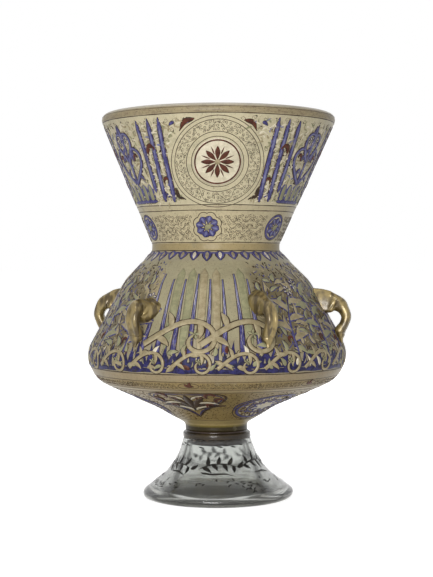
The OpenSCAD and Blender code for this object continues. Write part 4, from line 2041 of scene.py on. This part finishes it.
@dataclass
class Handles:
    """Six loops of gilded glass, each drawn out from a root, bent round an eye and pressed down.

    Each station of the trail is the distance up the shoulder from the eye, the distance off
    the shoulder, the half thickness and the half width.
    """

    surface: TurnedSurface
    shapes: tuple[HandleShape, ...] = (
        HandleShape(22.0, 0.0, -5.5, 0.82, 1.0),
        HandleShape(77.0, 0.0, 2.0, 0.96, 0.62),
        HandleShape(138.0, 2.0, 3.0, 1.0, 0.9),
        HandleShape(194.0, 3.0, -4.0, 0.95, 1.0),
        HandleShape(250.0, 0.0, 2.0, 0.92, 0.85),
        HandleShape(322.0, 8.0, 10.0, 0.98, 1.0),
    )
    eye_height: float = 162.0
    trail: Rows = (
        (25.0, -5.5, 9.5, 16.0),
        (19.4, 1.6, 10.2, 13.6),
        (14.9, 8.3, 9.2, 10.4),
        (10.6, 13.8, 6.8, 7.6),
        (4.0, 16.6, 5.4, 6.8),
        (-3.4, 15.7, 4.7, 6.6),
        (-8.6, 10.6, 4.5, 6.6),
        (-12.3, 4.5, 5.2, 6.5),
        (-17.0, 2.6, 4.0, 5.8),
        (-22.5, 1.2, 2.2, 4.2),
    )
    stations: int = 110
    sides: int = 40
    squareness: float = 2.4
    first_seed: int = 40

    def trail_surface(self, number: int) -> MeshData:
        """Carry a squared ellipse along the trail of one handle.

        The section stands across the trail. On the arm it narrows to a ridge along the top,
        with a crinkle low on its flanks, a groove runs down the strap and pinches cross the
        tail. The root is smeared to one side. Whatever would sink into the shoulder is pressed flat.

        Args:
            number: which handle, from 0.

        Returns:
            The surface.
        """
        shape = self.shapes[number]
        shift = np.random.default_rng(self.first_seed + number).uniform(-0.6, 0.6, 4)
        t = ramp(self.stations)[:, None]
        up, off, thick, wide = (column[:, None] for column in smooth_curve(self.trail, self.stations).T)
        angle = around(self.sides)
        c, s = np.cos(angle), np.sin(angle)
        outer = np.clip(s, 0.0, 1.0)
        wide = wide * (1 - (1 - shape.strap) * smooth_step(t, 0.28, 0.5))
        wide = wide * (1 - (1 - shape.root) * smooth_step(t, 0.4, 0.1))
        up = up - shape.drop * smooth_step(t, 0.46, 0.12)
        arm = smooth_step(t, 0.50, 0.24)
        tail = 1 - 0.6 * smooth_step(t, 0.86, 1.0)
        strap = smooth_step(t, 0.46, 0.56) * smooth_step(t, 0.86, 0.78)
        folds = 0.03 * np.cos(3 * angle - 4.0 * t + shift[0])
        knuckle = 0.14 * outer * hump(t, 0.43, 0.05)
        groove = 0.34 * strap * outer * hump(c, 0.1, 0.36)
        crinkle = 0.16 * hump(t, 0.33, 0.05) * hump(s, -0.35, 0.35) * np.cos(70 * t + 5 * angle)
        pinch = 0.09 * np.cos(FULL_TURN * 11 * t + shift[2]) * np.clip((t - 0.78) / 0.1, 0.0, 1.0)
        crest = 0.14 * arm * outer * hump(c, 0.0, 0.3)
        narrow = 1 - 0.8 * arm * (0.5 + 0.5 * s) ** 0.5
        flank, face = (np.sign(way) * np.abs(way) ** (2 / self.squareness) for way in (c, s))
        across = flank * wide * tail * narrow * (1 + folds + 0.4 * pinch + crinkle)
        depth = face * thick * tail * (1 + folds + pinch + knuckle + crest - groove + crinkle)
        go_up, go_off = np.gradient(up[:, 0])[:, None], np.gradient(off[:, 0])[:, None]
        length = np.hypot(go_up, go_off)
        climb = up + depth * go_off / length
        lift = off - depth * go_up / length
        across = across + 0.9 * np.sin(3.0 * t + shift[3]) * np.sin(math.pi * t)
        ear = np.clip(c * np.sign(shape.smear), 0.0, 1.0) ** 2 * (0.6 + 0.6 * s)
        across = across + shape.smear * smooth_step(t, 0.44, 0.08) * ear
        lift = 0.5 * (lift + np.sqrt(lift**2 + 1.2)) - 0.55
        arc = self.surface.arc_at(self.eye_height) + climb
        reach = self.surface.radius_at(arc) + lift * self.surface.rise_at(arc)
        return plugged(self.surface.place(math.radians(shape.turn) + across / reach, arc, lift))

    def build(self) -> None:
        """Make each handle and gild it."""
        for number in range(len(self.shapes)):
            add_piece(f"drawn_handle_{number + 1}", self.trail_surface(number), [HandleGilding()], "lamp",
                      f"handle_{number + 1}")


@dataclass
class OilLight:
    """The loose cup inside, the bronze strip across it and the wick."""

    low: float = 70.3
    high: float = 154.3
    base: float = 20.0
    rim: float = 34.0
    wall: float = 2.0
    cup_step: float = 1.6
    cup_sides: int = 144
    hand: HandWork = HandWork(((0.0, 0.0), (400.0, 0.0)), 0.12)
    glass: Finish = ClearGlass("cup_glass", (214, 220, 206), (158, 170, 150), (134, 148, 126), 80.0)
    wick_radius: float = 2.2
    wick_low: float = 87.1
    wick_high: float = 166.3
    strands: int = 3
    twist: float = 13.0
    stations: int = 220
    strand_sides: int = 10

    def build_cup(self) -> None:
        """Turn the cup's section."""
        floor = self.low + 2 * self.wall
        corners = [(0.0, self.low, 0.0), (self.base, self.low, self.wall),
                   (self.rim, self.high, self.wall * 0.4),
                   (self.rim - self.wall, self.high, self.wall * 0.4),
                   (self.base - self.wall / 2, floor, self.wall), (0.0, floor, 0.0)]
        cup = lathe(evened(rounded(corners), self.cup_step), self.cup_sides, self.hand)
        add_piece("blown_cup", cup, [self.glass], "oil_light", "oil_cup")

    def strand(self, number: int) -> MeshData:
        """Carry an oval section up a helix that thins at its lit end.

        Args:
            number: which strand, from 0.

        Returns:
            The strand, on its own share of the map.
        """
        t = ramp(self.stations)[:, None]
        height = self.wick_low + (self.wick_high - self.wick_low) * t
        thin = self.wick_radius * (1 - 0.5 * np.clip((t - 0.95) / 0.05, 0.0, 1.0) ** 2)
        thin = thin * np.clip(np.minimum(t, 1 - t) * 120 + 0.3, 0.0, 1.0)
        spin = FULL_TURN * (height / self.twist + number / self.strands)
        angle = around(self.strand_sides)
        out, aside = thin * (0.48 + 0.52 * np.cos(angle)), 0.62 * thin * np.sin(angle)
        c, s = np.cos(spin), np.sin(spin)
        data = plugged(np.stack([out * c - aside * s, out * s + aside * c, height + 0 * out], -1))
        data.spots[0] = (data.spots[0] + [number, 0.0]) / [self.strands, 1.0]
        return data

    def build(self) -> None:
        """Make the cup, twist the wick and give the bronze strip its aged skin."""
        self.build_cup()
        wick = joined([self.strand(number) for number in range(self.strands)])
        add_piece("twisted_wick", wick, [LampCotton()], "oil_light", "wick")
        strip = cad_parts["wick_holder"].data.materials
        strip.clear()
        strip.append(AgedBronze().material())


@dataclass(frozen=True)
class PaleFloor(Finish):
    """Pale floor that glows for rays that see it straight, with a painted shadow inside the foot.

    The painted shadow has a thin painted ring of light in it, which starts and ends softly. Its radii
    and the painted shadow's edge are in metres.
    """

    name: str = "pale_floor"
    dark_grain: Colour = (212.232, 212.232, 210.798)
    pale_grain: Colour = (217.848, 217.848, 216.462)
    glow: float = 0.90
    through: float = 0.8
    # shade is the share of the glow left in the painted shadow.
    shade: float = 0.07
    painted_ring_light: float = 0.8
    ring_start: Span = (0.0534, 0.0542)
    ring_end: Span = (0.0572, 0.0556)
    painted_shadow_edge: Span = (0.0625, 0.0645)

    def dress(self, tree: ShaderTree) -> None:
        """Matt and faintly grained, its glow set by the distance from the lamp's axis: a painted shadow
        inside the foot, with a painted ring of light.

        Args:
            tree: the material's tree.
        """
        out = tree.add("ShaderNodeVectorMath", {"operation": "LENGTH"}, {0: tree.place()}, "Value")
        # Painted shadow: inside the foot the glow drops to the shade share, with a painted ring of light in
        # it.
        ring = tree.step(out, *self.ring_start) * tree.step(out, *self.ring_end)
        lit = self.shade + self.painted_ring_light * ring + (1 - self.shade) * tree.step(out, *self.painted_shadow_edge)
        lit = lit * seen(tree, self.through)
        tree.set(Base_Color=tree.layers(self.dark_grain, (tree.noise(60.0, 3.0, 0.55), self.pale_grain)))
        tree.set(Emission_Color=tree.layers((0, 0, 0), (lit, (255, 255, 255))))
        tree.set(Roughness=0.9, Specular_IOR_Level=0.0, Emission_Strength=self.glow)


def seen(tree: ShaderTree, through: float) -> Socket:
    """Give 1 to rays that show the background, straight or in gold, and a share through glass.

    Args:
        tree: tree that it is added to.
        through: share of the rays through glass.

    Returns:
        The factor, 0 to 1, which is 0 after a matt surface.
    """
    names = ("Is Camera Ray", "Is Glossy Ray", "Is Transmission Ray", "Diffuse Depth")
    camera, glossy, glass, matt = (tree.add("ShaderNodeLightPath", {}, {}, name) for name in names)
    rays = camera + glossy * (1 - glass) + through * glass
    return tree.step(rays * (1 - tree.step(matt, 0.0, 1.0)), 0.0, 1.0)


@dataclass(frozen=True)
class SoftLamp:
    """A round lamp: its name, place and diameter in metres, its watts, and whether gloss mirrors it."""

    name: str
    place: Corner
    size: float
    power: float
    mirrored: bool = True

    def hang(self, aim: Corner) -> None:
        """Hang the lamp so that it faces a point.

        Args:
            aim: the point, in metres.
        """
        light = bpy.data.lights.new(self.name, "AREA")
        light.shape = "DISK"
        light.size = self.size
        light.energy = self.power
        lamp = bpy.data.objects.new(self.name, light)
        lamp.visible_transmission = False
        lamp.visible_camera = False
        lamp.visible_glossy = self.mirrored
        x, y, z = np.array(aim) - np.array(self.place)
        lamp.location = self.place
        lamp.rotation_euler = (math.atan2(math.hypot(x, y), -z), 0.0, math.atan2(-x, y))
        bpy.context.scene.collection.objects.link(lamp)


@dataclass
class Studio:
    """Camera, floor, background and soft lamps, in metres."""

    camera_place: Corner = (-0.0003, -1.261, 0.2135)
    tilt: float = 1.02
    lens: float = 85.5
    sensor: float = 36.0
    aim: Corner = (0.0, 0.0, 0.18)
    lamps: tuple[SoftLamp, ...] = (
        SoftLamp("key_lamp", (-0.26, -1.82, 0.36), 0.9, 26.2),
        SoftLamp("fill_lamp", (1.3, -1.4, 0.5), 1.2, 1.0),
        SoftLamp("top_lamp", (-0.3, 0.1, 1.8), 1.2, 5.0),
        SoftLamp("spark_lamp", (-0.45, -1.0, 1.25), 0.16, 2.5),
        SoftLamp("back_lamp", (0.45, 1.75, 0.75), 1.0, 14.0, False),
    )
    ambient: Colour = (111.34, 111.34, 111.34)
    background: Colour = (255, 255, 255)
    floor_rings: tuple[float, ...] = (0.04, 0.4, 1.2, 4.0, 16.0, 40.0)
    floor_sides: int = 64
    floor_drop: float = 0.0004

    def build(self) -> None:
        """Set up the camera, the lamps, the world and the floor."""
        scene = bpy.context.scene
        scene.view_settings.view_transform = "Standard"
        camera = bpy.data.objects.new("camera", bpy.data.cameras.new("camera"))
        camera.data.lens = self.lens
        camera.data.sensor_width = self.sensor
        camera.location = self.camera_place
        camera.rotation_euler = (math.radians(90 - self.tilt), 0.0, 0.0)
        scene.collection.objects.link(camera)
        scene.camera = camera
        for lamp in self.lamps:
            lamp.hang(self.aim)
        scene.world = bpy.data.worlds.new("studio")
        tree = ShaderTree(scene.world, "Background")
        tree.set(Color=tree.layers(self.ambient, (seen(tree, 1.0), self.background)), Strength=1.0)
        self.lay_floor()

    def lay_floor(self) -> None:
        """Lay a wide round floor, a grid of rings and sides with one face in its middle."""
        turn = around(self.floor_sides)
        radius = np.array(self.floor_rings)[:, None]
        level = np.full((len(radius), len(turn)), -self.floor_drop)
        points = np.stack([radius * np.cos(turn), radius * np.sin(turn), level], -1)
        faces, _ = grid_faces(len(self.floor_rings), self.floor_sides)
        mesh = bpy.data.meshes.new("floor")
        middle = list(range(self.floor_sides))
        mesh.from_pydata(points.reshape(-1, 3).tolist(), [], [*faces[:, ::-1].tolist(), middle])
        mesh.materials.append(PaleFloor().material())
        floor = bpy.data.objects.new("floor", mesh)
        bpy.context.scene.collection.objects.link(floor)


def main() -> None:
    """Build the studio, the lamp and its decoration."""
    logging.basicConfig(level=logging.INFO, format="%(message)s")
    Studio().build()
    vessel, foot = Vessel(), Foot()
    vessel.build()
    foot.build()
    Handles(vessel.surface).build()
    for decoration in (NeckEnamel, ThroatEnamel, BodyEnamel, UndersideEnamel):
        decoration(vessel.surface).build()
    FootMarks(foot.surface).build()
    OilLight().build()


if __name__ == "__main__":
    main()
